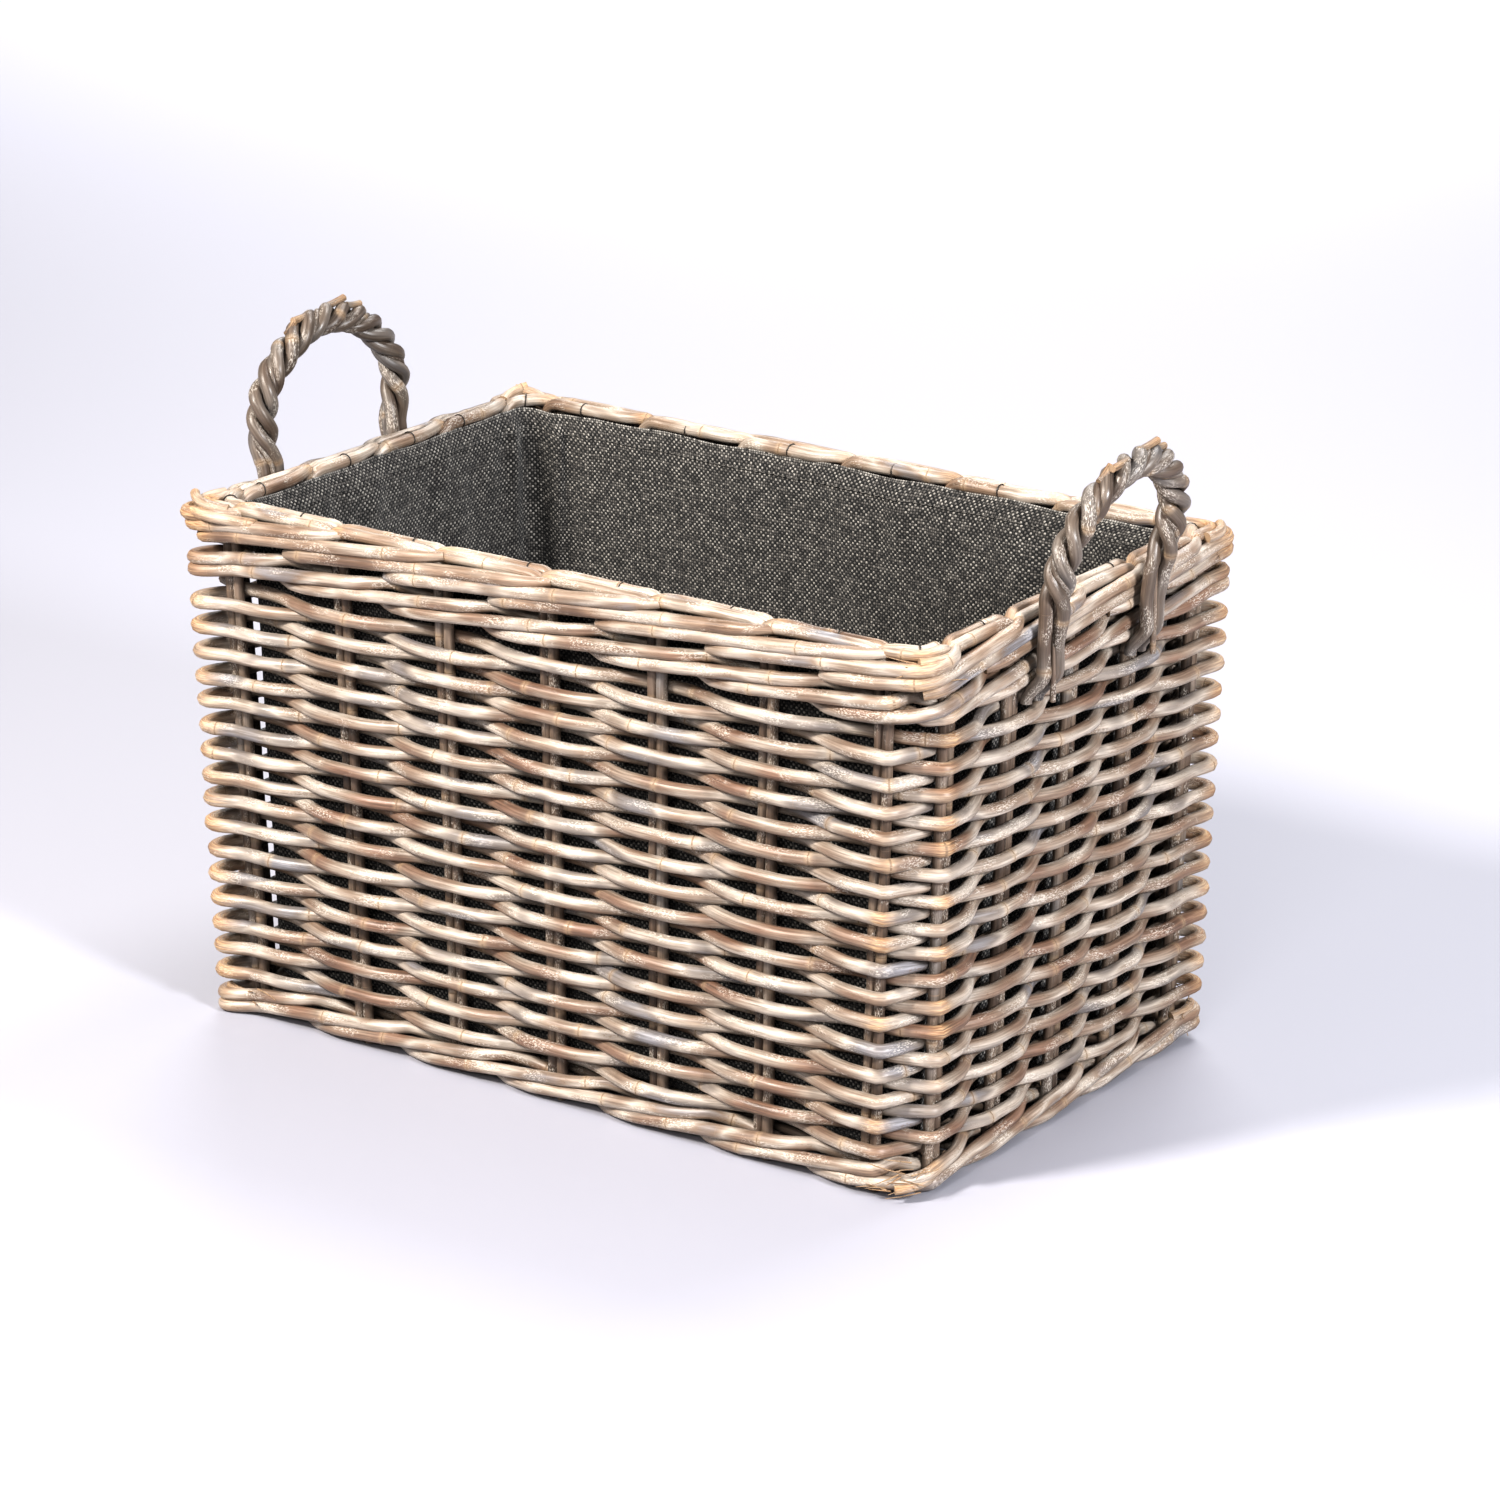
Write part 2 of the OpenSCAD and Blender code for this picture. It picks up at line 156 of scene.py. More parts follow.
def weaver_front(k, row):
    """1 where row's weaver is in front of stake k, -1 where it is behind."""
    return np.where(np.mod(k + row, 2) == 0, 1.0, -1.0)


def wale_front(k, phase):
    return np.where(np.mod(k - phase, 3) == 0, -1.0, 1.0)


def swing(s, front, phase):
    """How far a cane is in front (1) or behind (-1) at stations s, in smooth waves."""
    k = np.floor(s)
    flat = FLAT / bay_l(k)
    t = np.clip((s - k - flat) / (1 - 2 * flat), 0, 1)
    t = 0.5 - 0.5 * np.cos(np.pi * t)
    return (1 - t) * front(k, phase) + t * front(k + 1, phase)


def once_round(start):
    """Stations of a cane that goes once round the wall and ends just before its own start."""
    gap = END_GAP / bay_l(start)
    first, last = start + gap, start + TURN - gap
    steps = [k + j / BAY_STEPS for k in range(math.floor(first), math.ceil(last))
             for j in range(BAY_STEPS)]
    return np.array([first, *(v for v in steps if first < v < last), last])


def woven(s, z, out, front, phase):
    """Points of a cane that swings by out; at a corner it is pulled straight between two stakes."""
    points = wall(s, z, out * swing(s, front, phase))
    k = np.floor(s)
    flat = FLAT / CORNER_L
    share = np.clip((s - k - flat) / (1 - 2 * flat), 0, 1)
    start = wall(k + flat, z, out * front(k, phase))
    end = wall(k + 1 - flat, z, out * front(k + 1, phase))
    chord = start + (end - start) * share[:, None]
    crossing = is_corner_bay(k) & (front(k, phase) != front(k + 1, phase))
    crossing &= (s - k > flat) & (s - k < 1 - flat)
    points = np.where(crossing[:, None], chord, points)
    return np.where(at_sharp_corner(s, front, phase)[:, None], sharp_bend(s, z, out), points)


def at_sharp_corner(s, front, phase):
    """Where a cane runs on to a sharp bend, at the front left or the back right corner."""
    u = np.mod(s, TURN)
    left = (u > TURN - 1) & (front(np.floor(s) + 1, phase) > 0)
    right = (u > HALF_TURN - 1) & (u < HALF_TURN) & (front(np.floor(s), phase) > 0)
    return left | right


def sharp_bend(s, z, out):
    """Points of a cane that stays in front up to the corner, folds there and goes in behind."""
    at_left = np.mod(s, TURN) > TURN - 1
    t = np.where(at_left, 1 - np.mod(s, 1), np.mod(s, 1))
    swing_in = np.cos(np.pi * np.clip((t - 0.56) / 0.34, 0, 1))
    peak = np.where(at_left, LEFT_PEAK, RIGHT_PEAK) * np.exp(-((t - FOLD_AT) / 0.14) ** 2)
    return wall(s, z, out * swing_in + peak)


# ---- Lines that canes are swept along ----

def line(points, thick=1.0, fold=0.0):
    """A cane's line: its points, and its share of the full thickness and of a fold at each."""
    points = np.asarray(points, float)
    ones = np.ones(len(points))
    return points, ones * thick, ones * fold


def lines_mesh(name, lines):
    """A mesh of edges that carries the lines' thickness, fold and cane number."""
    starts = np.cumsum([0] + [len(p) for p, _, _ in lines])
    edges = [(a + i, a + i + 1) for a, (p, _, _) in zip(starts, lines) for i in range(len(p) - 1)]
    mesh = bpy.data.meshes.new(name)
    mesh.from_pydata(np.concatenate([p for p, _, _ in lines]).tolist(), edges, [])
    for key, column in (("thick", 1), ("fold", 2)):
        values = np.concatenate([one[column] for one in lines]).astype(np.float32)
        mesh.attributes.new(key, "FLOAT", "POINT").data.foreach_set("value", values)
    numbers = np.concatenate([np.full(len(p), i) for i, (p, _, _) in enumerate(lines)])
    mesh.attributes.new("cane", "INT", "POINT").data.foreach_set("value", numbers.astype(np.int32))
    return mesh


# ---- Node trees ----

def add(tree, kind, joins=(), **settings):
    """Puts a node in a tree. joins are pairs of an input and the value or socket for it."""
    node = tree.nodes.new(kind)
    for name, value in settings.items():
        setattr(node, name, value)
    for key, value in joins:
        if isinstance(value, bpy.types.NodeSocket):
            tree.links.new(value, node.inputs[key])
        else:
            node.inputs[key].default_value = value
    return node


def made(tree, kind, joins=(), **settings):
    """The first output of a new node."""
    return add(tree, kind, joins, **settings).outputs[0]


def calc(tree, operation, *values):
    return made(tree, "ShaderNodeMath", enumerate(values), operation=operation)


def times(tree, first, second):
    return calc(tree, "MULTIPLY", first, second)


def named(tree, name, kind="FLOAT"):
    return made(tree, "GeometryNodeInputNamedAttribute", [("Name", name)], data_type=kind)


def store(tree, geometry, name, value, kind="FLOAT", domain="POINT"):
    joins = [("Geometry", geometry), ("Name", name), ("Value", value)]
    return made(tree, "GeometryNodeStoreNamedAttribute", joins, data_type=kind, domain=domain)


def chance(tree, low, high, number, seed):
    joins = [(2, low), (3, high), ("ID", number), ("Seed", seed)]
    return add(tree, "FunctionNodeRandomValue", joins, data_type="FLOAT").outputs[1]


def new_tree(name, sizes):
    """A geometry tree with named inputs, given as (name, socket kind, value)."""
    tree = bpy.data.node_groups.new(name, "GeometryNodeTree")
    tree.interface.new_socket("Geometry", in_out="OUTPUT", socket_type="NodeSocketGeometry")
    for label, kind, value in [("Geometry", "Geometry", None)] + sizes:
        socket = tree.interface.new_socket(label, in_out="INPUT", socket_type="NodeSocket" + kind)
        if value is not None:
            socket.default_value = value
    return tree, tree.nodes.new("NodeGroupInput").outputs


def close_tree(tree, geometry, finish):
    """Realize Instances and Set Material, the last steps of every tree."""
    real = made(tree, "GeometryNodeRealizeInstances", [("Geometry", geometry)])
    painted = add(tree, "GeometryNodeSetMaterial", [("Geometry", real), ("Material", finish)])
    tree.links.new(painted.outputs[0], tree.nodes.new("NodeGroupOutput").inputs[0])
    return tree


def cane_tree():
    """Sweeps a knotted, uneven cane along each line."""
    tree, size = new_tree("Swept canes", [
        ("Thickness", "Float", WEAVER_D), ("Unevenness", "Float", 0.06),
        ("Knot spacing", "Float", 0.11), ("Knot height", "Float", 0.07),
        ("Ring spacing", "Float", 4 * MM), ("Sides", "Int", 10),
        ("Seed", "Int", 1), ("Finish", "Material", None)])
    curve = made(tree, "GeometryNodeMeshToCurve", [("Mesh", size["Geometry"])])
    curve = made(tree, "GeometryNodeCurveSplineType", [("Curve", curve)],
                 spline_type="CATMULL_ROM")
    curve = made(tree, "GeometryNodeResampleCurve",
                 [("Curve", curve), ("Length", size["Ring spacing"])], mode="LENGTH")
    number = named(tree, "cane", "INT")
    offset = chance(tree, 0.0, 20.0, number, size["Seed"])
    along = add(tree, "GeometryNodeSplineParameter").outputs["Length"]
    run = calc(tree, "ADD", along, offset)
    cell = calc(tree, "FLOOR", calc(tree, "DIVIDE", run, size["Knot spacing"]))
    key = calc(tree, "ADD", cell, times(tree, number, 977.0))
    place = chance(tree, 0.2, 0.8, key, size["Seed"])
    knot = times(tree, calc(tree, "ADD", cell, place), size["Knot spacing"])
    ring = calc(tree, "SUBTRACT", run, knot)
    near = calc(tree, "POWER", calc(tree, "DIVIDE", ring, 3.2 * MM), 2.0)
    bulge = calc(tree, "EXPONENT", times(tree, near, -1.0))
    bulge = calc(tree, "MULTIPLY_ADD", bulge, size["Knot height"], 1.0)
    wave = made(tree, "ShaderNodeTexNoise", [("W", run), ("Scale", 22.0), ("Detail", 2.0)],
                noise_dimensions="1D")
    wave = times(tree, calc(tree, "SUBTRACT", wave, 0.5), 2.0)
    uneven = calc(tree, "MULTIPLY_ADD", wave, size["Unevenness"], 1.0)
    radius = times(tree, times(tree, size["Thickness"], 0.5), named(tree, "thick"))
    radius = times(tree, times(tree, radius, uneven), bulge)
    curve = store(tree, curve, "run", run)
    curve = store(tree, curve, "ring", ring)
    curve = store(tree, curve, "tone", chance(tree, 0.0, 1.0, number, 7))
    curve = made(tree, "GeometryNodeSetCurveRadius", [("Curve", curve), ("Radius", radius)])
    circle = made(tree, "GeometryNodeCurvePrimitiveCircle",
                  [("Resolution", size["Sides"]), ("Radius", 1.0)])
    place = made(tree, "GeometryNodeInputPosition")
    circle = store(tree, circle, "round", place, "FLOAT_VECTOR")
    joins = [("Curve", curve), ("Profile Curve", circle), ("Fill Caps", True)]
    sweep = add(tree, "GeometryNodeCurveToMesh", joins)
    if "Scale" in sweep.inputs:
        tree.links.new(radius, sweep.inputs["Scale"])
    across = add(tree, "ShaderNodeSeparateXYZ", [(0, named(tree, "round", "FLOAT_VECTOR"))])
    half = times(tree, size["Thickness"], 0.5)
    grain = made(tree, "ShaderNodeCombineXYZ", [
        (0, times(tree, across.outputs[0], half)),
        (1, times(tree, across.outputs[1], half)),
        (2, named(tree, "run"))])
    mesh = store(tree, sweep.outputs[0], "grain", grain, "FLOAT_VECTOR")
    corners = add(tree, "GeometryNodeInputMeshFaceNeighbors").outputs["Vertex Count"]
    cut = calc(tree, "GREATER_THAN", corners, 4.5)
    mesh = store(tree, mesh, "cut", cut, "FLOAT", "FACE")
    round_side = calc(tree, "LESS_THAN", corners, 4.5)
    mesh = made(tree, "GeometryNodeSetShadeSmooth",
                [("Geometry", mesh), ("Selection", round_side)])
    return close_tree(tree, mesh, size["Finish"])


def placed(name, data):
    """A new object in the scene."""
    item = bpy.data.objects.new(name, data)
    bpy.context.scene.collection.objects.link(item)
    return item


def made_by(tree, name, mesh, **values):
    """Runs a tree on a mesh and keeps the result as a plain mesh object."""
    source = placed(name + "_source", mesh)
    modifier = source.modifiers.new("tree", "NODES")
    modifier.node_group = tree
    sockets = {item.name: item.identifier for item in tree.interface.items_tree
               if item.in_out == "INPUT"}
    for label, value in values.items():
        modifier[sockets[label.replace("_", " ")]] = value
    evaluated = source.evaluated_get(bpy.context.evaluated_depsgraph_get())
    result = bpy.data.meshes.new_from_object(evaluated)
    source.modifiers.clear()
    bpy.data.objects.remove(source)
    return placed(name, result)


def settle(piece, slot, *nodes):
    """Fixes a piece to the basket, in place of its CAD nodes."""
    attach(piece, "root")
    if nodes:
        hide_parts(*nodes)


CANES = cane_tree()


def canes(name, lines, finish, slot, nodes, **sizes):
    piece = made_by(CANES, name, lines_mesh(name, lines), Finish=finish, **sizes)
    settle(piece, slot, *nodes)


# ---- Finishes ----

def new_finish(name, **values):
    """A finish, its tree and its shader, with values set on the shader's own sockets."""
    finish = bpy.data.materials.new(name)
    finish.use_nodes = True
    tree = finish.node_tree
    shader = tree.nodes["Principled BSDF"]
    for label, value in values.items():
        shader.inputs[label.replace("_", " ")].default_value = value
    return finish, tree, shader


def read(tree, name, output="Fac"):
    return add(tree, "ShaderNodeAttribute", attribute_name=name).outputs[output]


def noise(tree, vector, across, along, detail=2.0, rough=0.5):
    """Noise at so many changes a metre across a piece and along it."""
    joins = [("Vector", vector), ("Scale", (across, across, along))]
    scaled = made(tree, "ShaderNodeMapping", joins, vector_type="POINT")
    joins = [("Vector", scaled), ("Scale", 1.0), ("Detail", detail), ("Roughness", rough)]
    return add(tree, "ShaderNodeTexNoise", joins).outputs["Fac"]


def graded(tree, value, low, high, bottom=0.0, top=1.0):
    joins = [("Value", value), ("From Min", low), ("From Max", high),
             ("To Min", bottom), ("To Max", top)]
    return made(tree, "ShaderNodeMapRange", joins, interpolation_type="SMOOTHSTEP")


def blended(tree, share, first, second, how="MIX"):
    joins = [("Factor", share), (6, first), (7, second)]
    return add(tree, "ShaderNodeMix", joins, data_type="RGBA", blend_type=how).outputs[2]


def shaded(tree, colour, shade):
    """A colour made lighter or darker by a grey shade."""
    grey = made(tree, "ShaderNodeCombineColor", [(i, shade) for i in range(3)])
    return blended(tree, 1.0, colour, grey, "MULTIPLY")


def ramp(tree, value, stops):
    node = add(tree, "ShaderNodeValToRGB", [(0, value)])
    bar = node.color_ramp
    while len(bar.elements) < len(stops):
        bar.elements.new(0.5)
    for element, (place, colour) in zip(bar.elements, stops):
        element.position, element.color = place, (*colour, 1.0)
    return node.outputs[0]


def bumped(tree, shader, height, strength, depth):
    joins = [("Height", height), ("Strength", strength), ("Distance", depth)]
    bump = made(tree, "ShaderNodeBump", joins)
    tree.links.new(bump, shader.inputs["Normal"])


def washed(stops, grey=0.34):
    """The colours of a ramp, drawn towards grey as cane is by the weather."""
    return [(place, tuple(c + (sum(colour) / 3 - c) * grey for c in colour))
            for place, colour in stops]


def cane_finish(name, stops, gloss=0.37):
    """Peeled, weathered cane: slow changes of colour, long streaks, flecks, dark knot rings."""
    finish, tree, shader = new_finish(name, Specular_IOR_Level=0.55)
    grain = read(tree, "grain", "Vector")
    slow = noise(tree, grain, 40, 13)
    streaks = noise(tree, grain, 750, 28, 4.0, 0.6)
    fine = noise(tree, grain, 2200, 160)
    patch = noise(tree, grain, 90, 38, 3.0)
    flecks = noise(tree, grain, 1500, 620)
    tone = times(tree, read(tree, "tone"), 0.3)
    tone = calc(tree, "MULTIPLY_ADD", graded(tree, slow, 0.3, 0.7), 0.6, tone)
    tone = calc(tree, "MULTIPLY_ADD", streaks, 0.2, tone)
    colour = ramp(tree, calc(tree, "SUBTRACT", tone, 0.08), washed(stops))
    shade = times(tree, graded(tree, streaks, 0.25, 0.75, 0.68, 1.16),
                  graded(tree, fine, 0.3, 0.7, 0.93, 1.05))
    colour = shaded(tree, colour, shade)
    scaly = times(tree, graded(tree, patch, 0.5, 0.62), graded(tree, flecks, 0.5, 0.6))
    colour = blended(tree, times(tree, scaly, 0.55), colour, (0.66, 0.61, 0.54, 1.0))
    pits = times(tree, graded(tree, patch, 0.42, 0.3), graded(tree, flecks, 0.44, 0.36))
    colour = blended(tree, times(tree, pits, 0.6), colour, (0.16, 0.095, 0.05, 1.0))
    fold = read(tree, "fold")
    torn = times(tree, fold, graded(tree, streaks, 0.35, 0.6, 0.35, 1.0))
    torn_colour = blended(tree, graded(tree, fine, 0.4, 0.6),
                          (0.3, 0.16, 0.075, 1.0), (0.52, 0.37, 0.22, 1.0))
    colour = blended(tree, torn, colour, torn_colour)
    away = calc(tree, "ABSOLUTE", read(tree, "ring"))
    crack = times(tree, graded(tree, away, 0.75 * MM, 0.2 * MM),
                  graded(tree, streaks, 0.38, 0.52))
    colour = blended(tree, times(tree, crack, 0.8), colour, (0.09, 0.05, 0.03, 1.0))
    halo = times(tree, graded(tree, away, 4 * MM, 0.6 * MM), 0.3)
    colour = blended(tree, halo, colour, (0.46, 0.34, 0.22, 1.0))
    colour = blended(tree, read(tree, "cut"), colour, (0.34, 0.24, 0.155, 1.0))
    tree.links.new(colour, shader.inputs["Base Color"])
    rough = graded(tree, streaks, 0.2, 0.8, gloss - 0.08, gloss + 0.14)
    rough = calc(tree, "ADD", rough, times(tree, calc(tree, "ADD", scaly, fold), 0.2))
    tree.links.new(rough, shader.inputs["Roughness"])
    height = calc(tree, "MULTIPLY_ADD", streaks, 0.22, times(tree, fine, 0.08))
    height = calc(tree, "MULTIPLY_ADD", scaly, 0.12, height)
    height = calc(tree, "MULTIPLY_ADD", crack, -0.3, height)
    height = calc(tree, "MULTIPLY_ADD", times(tree, fold, fine), 0.7, height)
    bumped(tree, shader, height, 0.85, 0.8 * MM)
    return finish


BROWN, RUST, TAN = (0.104, 0.058, 0.033), (0.248, 0.124, 0.062), (0.288, 0.188, 0.116)
CREAM, GREY, SILVER = (0.464, 0.376, 0.29), (0.216, 0.196, 0.199), (0.4, 0.384, 0.407)
WEAVER_FINISH = cane_finish("weathered weaver cane", [
    (0.06, BROWN), (0.2, RUST), (0.36, TAN), (0.5, (0.36, 0.272, 0.195)), (0.6, CREAM),
    (0.72, (0.24, 0.188, 0.149)), (0.84, GREY), (0.95, SILVER)])
WALE_FINISH = cane_finish("weathered wale cane", [
    (0.08, BROWN), (0.24, RUST), (0.42, TAN), (0.6, CREAM), (0.74, TAN), (0.88, GREY),
    (0.96, SILVER)])
STAKE_FINISH = cane_finish("brown stake cane", [
    (0.1, (0.064, 0.036, 0.021)), (0.4, (0.16, 0.096, 0.056)), (0.65, (0.24, 0.16, 0.1)),
    (0.9, (0.208, 0.176, 0.154))], 0.55)
BORDER_FINISH = cane_finish("pale border cane", [
    (0.08, (0.177, 0.095, 0.049)), (0.24, (0.286, 0.17, 0.092)), (0.42, (0.34, 0.238, 0.156)),
    (0.6, CREAM), (0.74, TAN), (0.86, GREY), (0.95, SILVER)])
HANDLE_FINISH = cane_finish("tan handle cane", [
    (0.08, BROWN), (0.3, (0.122, 0.077, 0.048)), (0.5, (0.162, 0.114, 0.077)),
    (0.68, (0.195, 0.152, 0.117)), (0.85, (0.11, 0.096, 0.09)), (0.95, (0.154, 0.143, 0.144))])
BASE_FINISH = cane_finish("plain base cane", [
    (0.1, (0.16, 0.088, 0.05)), (0.45, TAN), (0.8, (0.384, 0.296, 0.207))], 0.6)


# ---- Wall pieces ----

def soft_steps(rng, s, size):
    """A smooth wandering value along stations s, of about the given size."""
    k = np.floor(s).astype(int)
    knots = rng.normal(0, size, int(k.max() - k.min() + 3))
    t = eased(s - k, 0, 1)
    i = k - k.min()
    return knots[i] * (1 - t) + knots[i + 1] * t


def corner_fold(s, front, phase, rng):
    """How far a cane is broken where it bends, at a corner stake or right at a sharp corner."""
    fold = np.zeros(len(s))
    for k in range(math.floor(s.min()), math.ceil(s.max()) + 1):
        here, after = is_corner_bay(k), is_corner_bay(k - 1)
        if front(k, phase) > 0 and (here or after):
            sharp = k % TURN in (0, HALF_TURN - 1)
            side = 1 if here else -1
            middle = k + side * (FOLD_AT if sharp else FLAT / CORNER_L * 0.8)
            if sharp:
                depth = rng.uniform(0.5, 1.0)
            else:
                depth = rng.choice([0.1, 0.3, 0.9], p=[0.5, 0.25, 0.25])
            fold = np.maximum(fold, depth * np.exp(-((s - middle) / 0.13) ** 2))
    return fold


def weaver_line(row, z, rng):
    """One cane once round the wall, from behind a stake of the back."""
    start = HALF_TURN + 1 + 2 * (row // 2 % 2)
    start += 0 if weaver_front(start, row) < 0 else 1
    s = once_round(start)
    height = z + soft_steps(rng, s, 0.6 * MM)
    points = woven(s, height, WEAVER_OUT + soft_steps(rng, s, 0.35 * MM), weaver_front, row)
    fold = corner_fold(s, weaver_front, row, rng)
    thick = (1 + soft_steps(rng, s, 0.03)) * (1 + 0.05 * fold)
    return line(points, thick, fold)


def weavers():
    for i in range(1, ROUNDS + 1):
        name = f"weaver_round_{i:02d}"
        low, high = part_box(name)
        rng = default_rng(100 + i)
        rows = [(2 * i - 2, low.z + WEAVER_D / 2), (2 * i - 1, high.z - WEAVER_D / 2)]
        canes("woven_" + name, [weaver_line(row, z, rng) for row, z in rows], WEAVER_FINISH,
              "weaver_cane", [name], Seed=i, Thickness=WEAVER_D * 1.07, Unevenness=0.1,
              Knot_spacing=0.13)


def stake_lines(first, last, rng):
    lines = []
    for k in range(first, last + 1):
        k = k + STAKE_SHIFT.get(k, 0)
        along = unit(wall(k + 0.01, 0.0, 0) - wall(k - 0.01, 0.0, 0))
        for side in (-1, 1):
            z = np.linspace(STAKES[0].z + 0.5 * MM, BODY_H - 9 * MM, 14)
            shift = side * (STAKE_D / 2 + 0.15 * MM) + rng.normal(0, 0.22 * MM, len(z))
            points = wall(k, z, 0) + shift[:, None] * along
            lines.append(line(points, rng.uniform(1.0, 1.1)))
    return lines


def stakes():
    rows = {"front": (0, 6), "right": (7, 11), "back": (12, 18), "left": (19, 23)}
    for i, (side, (first, last)) in enumerate(rows.items()):
        rng = default_rng(40 + i)
        canes(f"{side}_stake_canes", stake_lines(first, last, rng), STAKE_FINISH, "stake_cane",
              [f"{side}_stakes"], Seed=60 + i, Thickness=STAKE_D * 1.08, Ring_spacing=9 * MM)


def wale_lift(s, phase):
    """A wale rod's share of its rise: up in front of two stakes, down behind the third."""
    u = np.mod(s - phase, 3)
    up = (u - 0.5) / 2
    down = np.where(u < 0.5, 0.5 - u, 3.5 - u)
    return np.where((u < 0.5) | (u > 2.5), down, up)


def wale_line(phase, low, rng):
    """One rod once round the wall, from behind a stake of the back."""
    s = once_round(HALF_TURN + phase)
    z = low + 2 * WALE_STEP * wale_lift(s, phase) + soft_steps(rng, s, 0.3 * MM)
    points = woven(s, z, ROD_OUT, wale_front, phase)
    fold = 0.6 * corner_fold(s, wale_front, phase, rng)
    return line(points, 1 + soft_steps(rng, s, 0.03), fold)


def wales():
    for i, (name, box) in enumerate((("foot_wale_rod_", FOOT_WALE), ("top_wale_rod_", TOP_WALE))):
        for rod in (1, 2, 3):
            rng = default_rng(200 + 10 * i + rod)
            extra = foot_ends(rng) if i == 0 and rod == 1 else []
            lines = [wale_line(rod - 1, box[0].z + ROD_D / 2, rng)] + extra
            canes(f"woven_{name}{rod}", lines, WALE_FINISH, "wale_cane", [f"{name}{rod}"],
                  Seed=80 + 3 * i + rod, Thickness=ROD_D * 1.12, Unevenness=0.09)


def foot_ends(rng):
    """Torn fibres and short cut ends of canes at the corners of the foot."""
    corners = [TURN - 0.5, HALF_TURN - 0.5, LAST_LONG + 0.5, HALF_TURN + LAST_LONG + 0.5]
    lines = fibres(rng, 60, corners, 3 * MM, 30 * MM, ROD_OUT)
    t = np.linspace(0, 1, 6)
    for start, end in (((TURN - 0.1, 14, 6), (TURN - 0.5, 16, 15)),
                       ((TURN - 0.9, 6, 6), (TURN - 0.45, 4, 14)),
                       ((HALF_TURN - 0.9, 22, 6), (HALF_TURN - 0.5, 24, 14)),
                       ((LAST_LONG + 0.85, 12, 6), (LAST_LONG + 0.4, 9, 13))):
        lines.append(line(stub(start, end, t, 0), 0.8 - 0.1 * t, 0.3 + 0.7 * t ** 2))
    return lines


def stub(start, end, t, low):
    """Points of a short cane between two ends, each a station, mm above low and mm out."""
    s, z, out = (a + (b - a) * t for a, b in zip(start, end))
    return wall(s, low + z * MM, out * MM)


# ---- Border and rim ----

STROKE_HIGH = BORDER[1].z - ROD_D / 2
STROKE_LOW = BORDER[0].z + ROD_D / 2
BORDER_OUT = 8.2 * MM


def border_line(k, rng):
    """A cane that slopes up outside the border, past two stakes, with its ends tucked in."""
    s = np.linspace(k - 2.5, k + 0.05, 26)
    share = (s - s[0]) / (s[-1] - s[0])
    z = STROKE_LOW - 1.5 * MM + (STROKE_HIGH - STROKE_LOW + 2.6 * MM) * share
    low_end = np.clip(1 - share / 0.1, 0, 1)
    high_end = np.clip((share - 0.88) / 0.12, 0, 1)
    out = BORDER_OUT + 1.0 * MM - 6 * MM * low_end ** 2 - 7.0 * MM * high_end ** 2
    out = out + soft_steps(rng, s, 0.4 * MM)
    z = z + soft_steps(rng, s, 0.5 * MM) - 1.5 * MM * low_end
    out = out + corner_push(s, rng.uniform(3.5, 6) * MM)
    thick = (1.0 - 0.12 * low_end - 0.3 * high_end) * rng.uniform(0.96, 1.06)
    return line(wall(s, z, out), thick, np.minimum(1, corner_push(s, 0.8)))


def corner_push(s, size):
    """A peak in the middle of each corner bay, highest at the two sharp corners."""
    k = np.floor(s)
    bay = np.mod(k, TURN)
    share = np.select([bay == TURN - 1, bay == HALF_TURN - 1], [2.3, 1.6], 0.9)
    peak = share * size * np.exp(-((s - k - 0.5) / 0.15) ** 2)
    return np.where(is_corner_bay(k), peak, 0.0)


def corner_ears():
    """Cut cane ends that stand proud at the corners of the border."""
    t = np.linspace(0, 1, 7)
    back_left = HALF_TURN + LAST_LONG
    ends = (((TURN - 0.1, 0.5, 6), (TURN - 0.62, 4.5, 17)),
            ((TURN + 0.25, -4.5, 9), (TURN - 0.42, -2.0, 19)),
            ((TURN - 0.95, 0.0, 7), (TURN - 0.5, 0.5, 14)),
            ((HALF_TURN - 0.85, 0.5, 8), (HALF_TURN - 0.42, 1.0, 15)),
            ((back_left + 0.9, 1.0, 0), (back_left + 0.45, 7.5, 4)),
            ((back_left + 0.1, 1.0, -4), (back_left + 0.6, 6.0, 5)),
            ((LAST_LONG + 0.9, -1.5, 7), (LAST_LONG + 0.45, -0.5, 13)))
    return [line(stub(start, end, t, RIM_Z), 0.85 - 0.1 * t, 0.25 + 0.7 * t ** 3)
            for start, end in ends]


def border():
    rng = default_rng(300)
    lines = [border_line(k, rng) for k in range(TURN)] + corner_ears()
    corners = [TURN - 0.5, HALF_TURN - 0.5, LAST_LONG + 0.5]
    lines += fibres(rng, 26, corners, RIM_Z - 14 * MM, RIM_Z, BORDER_OUT)
    canes("plaited_border_canes", lines, BORDER_FINISH, "border_cane", ["border_canes"],
          Seed=90, Thickness=ROD_D * 1.17, Unevenness=0.09, Ring_spacing=4 * MM)


def fibres(rng, count, stations, low, high, out):
    """Thin torn fibres near the given stations."""
    lines = []
    for _ in range(count):
        s = rng.choice(stations) + rng.normal(0, 0.16)
        z = rng.uniform(low, high)
        slope = rng.normal(0, 4 * MM)
        length, lift = rng.uniform(0.1, 0.32), rng.uniform(2, 7) * MM
        t = np.linspace(0, 1, 6)
        height = np.maximum(1.2 * MM, z + slope * t)
        s = s + length * t * rng.choice([-1, 1])
        points = wall(s, height, out + 3.5 * MM + lift * t * t)
        lines.append(line(points, 0.13 - 0.08 * t, 1.0))
    return lines


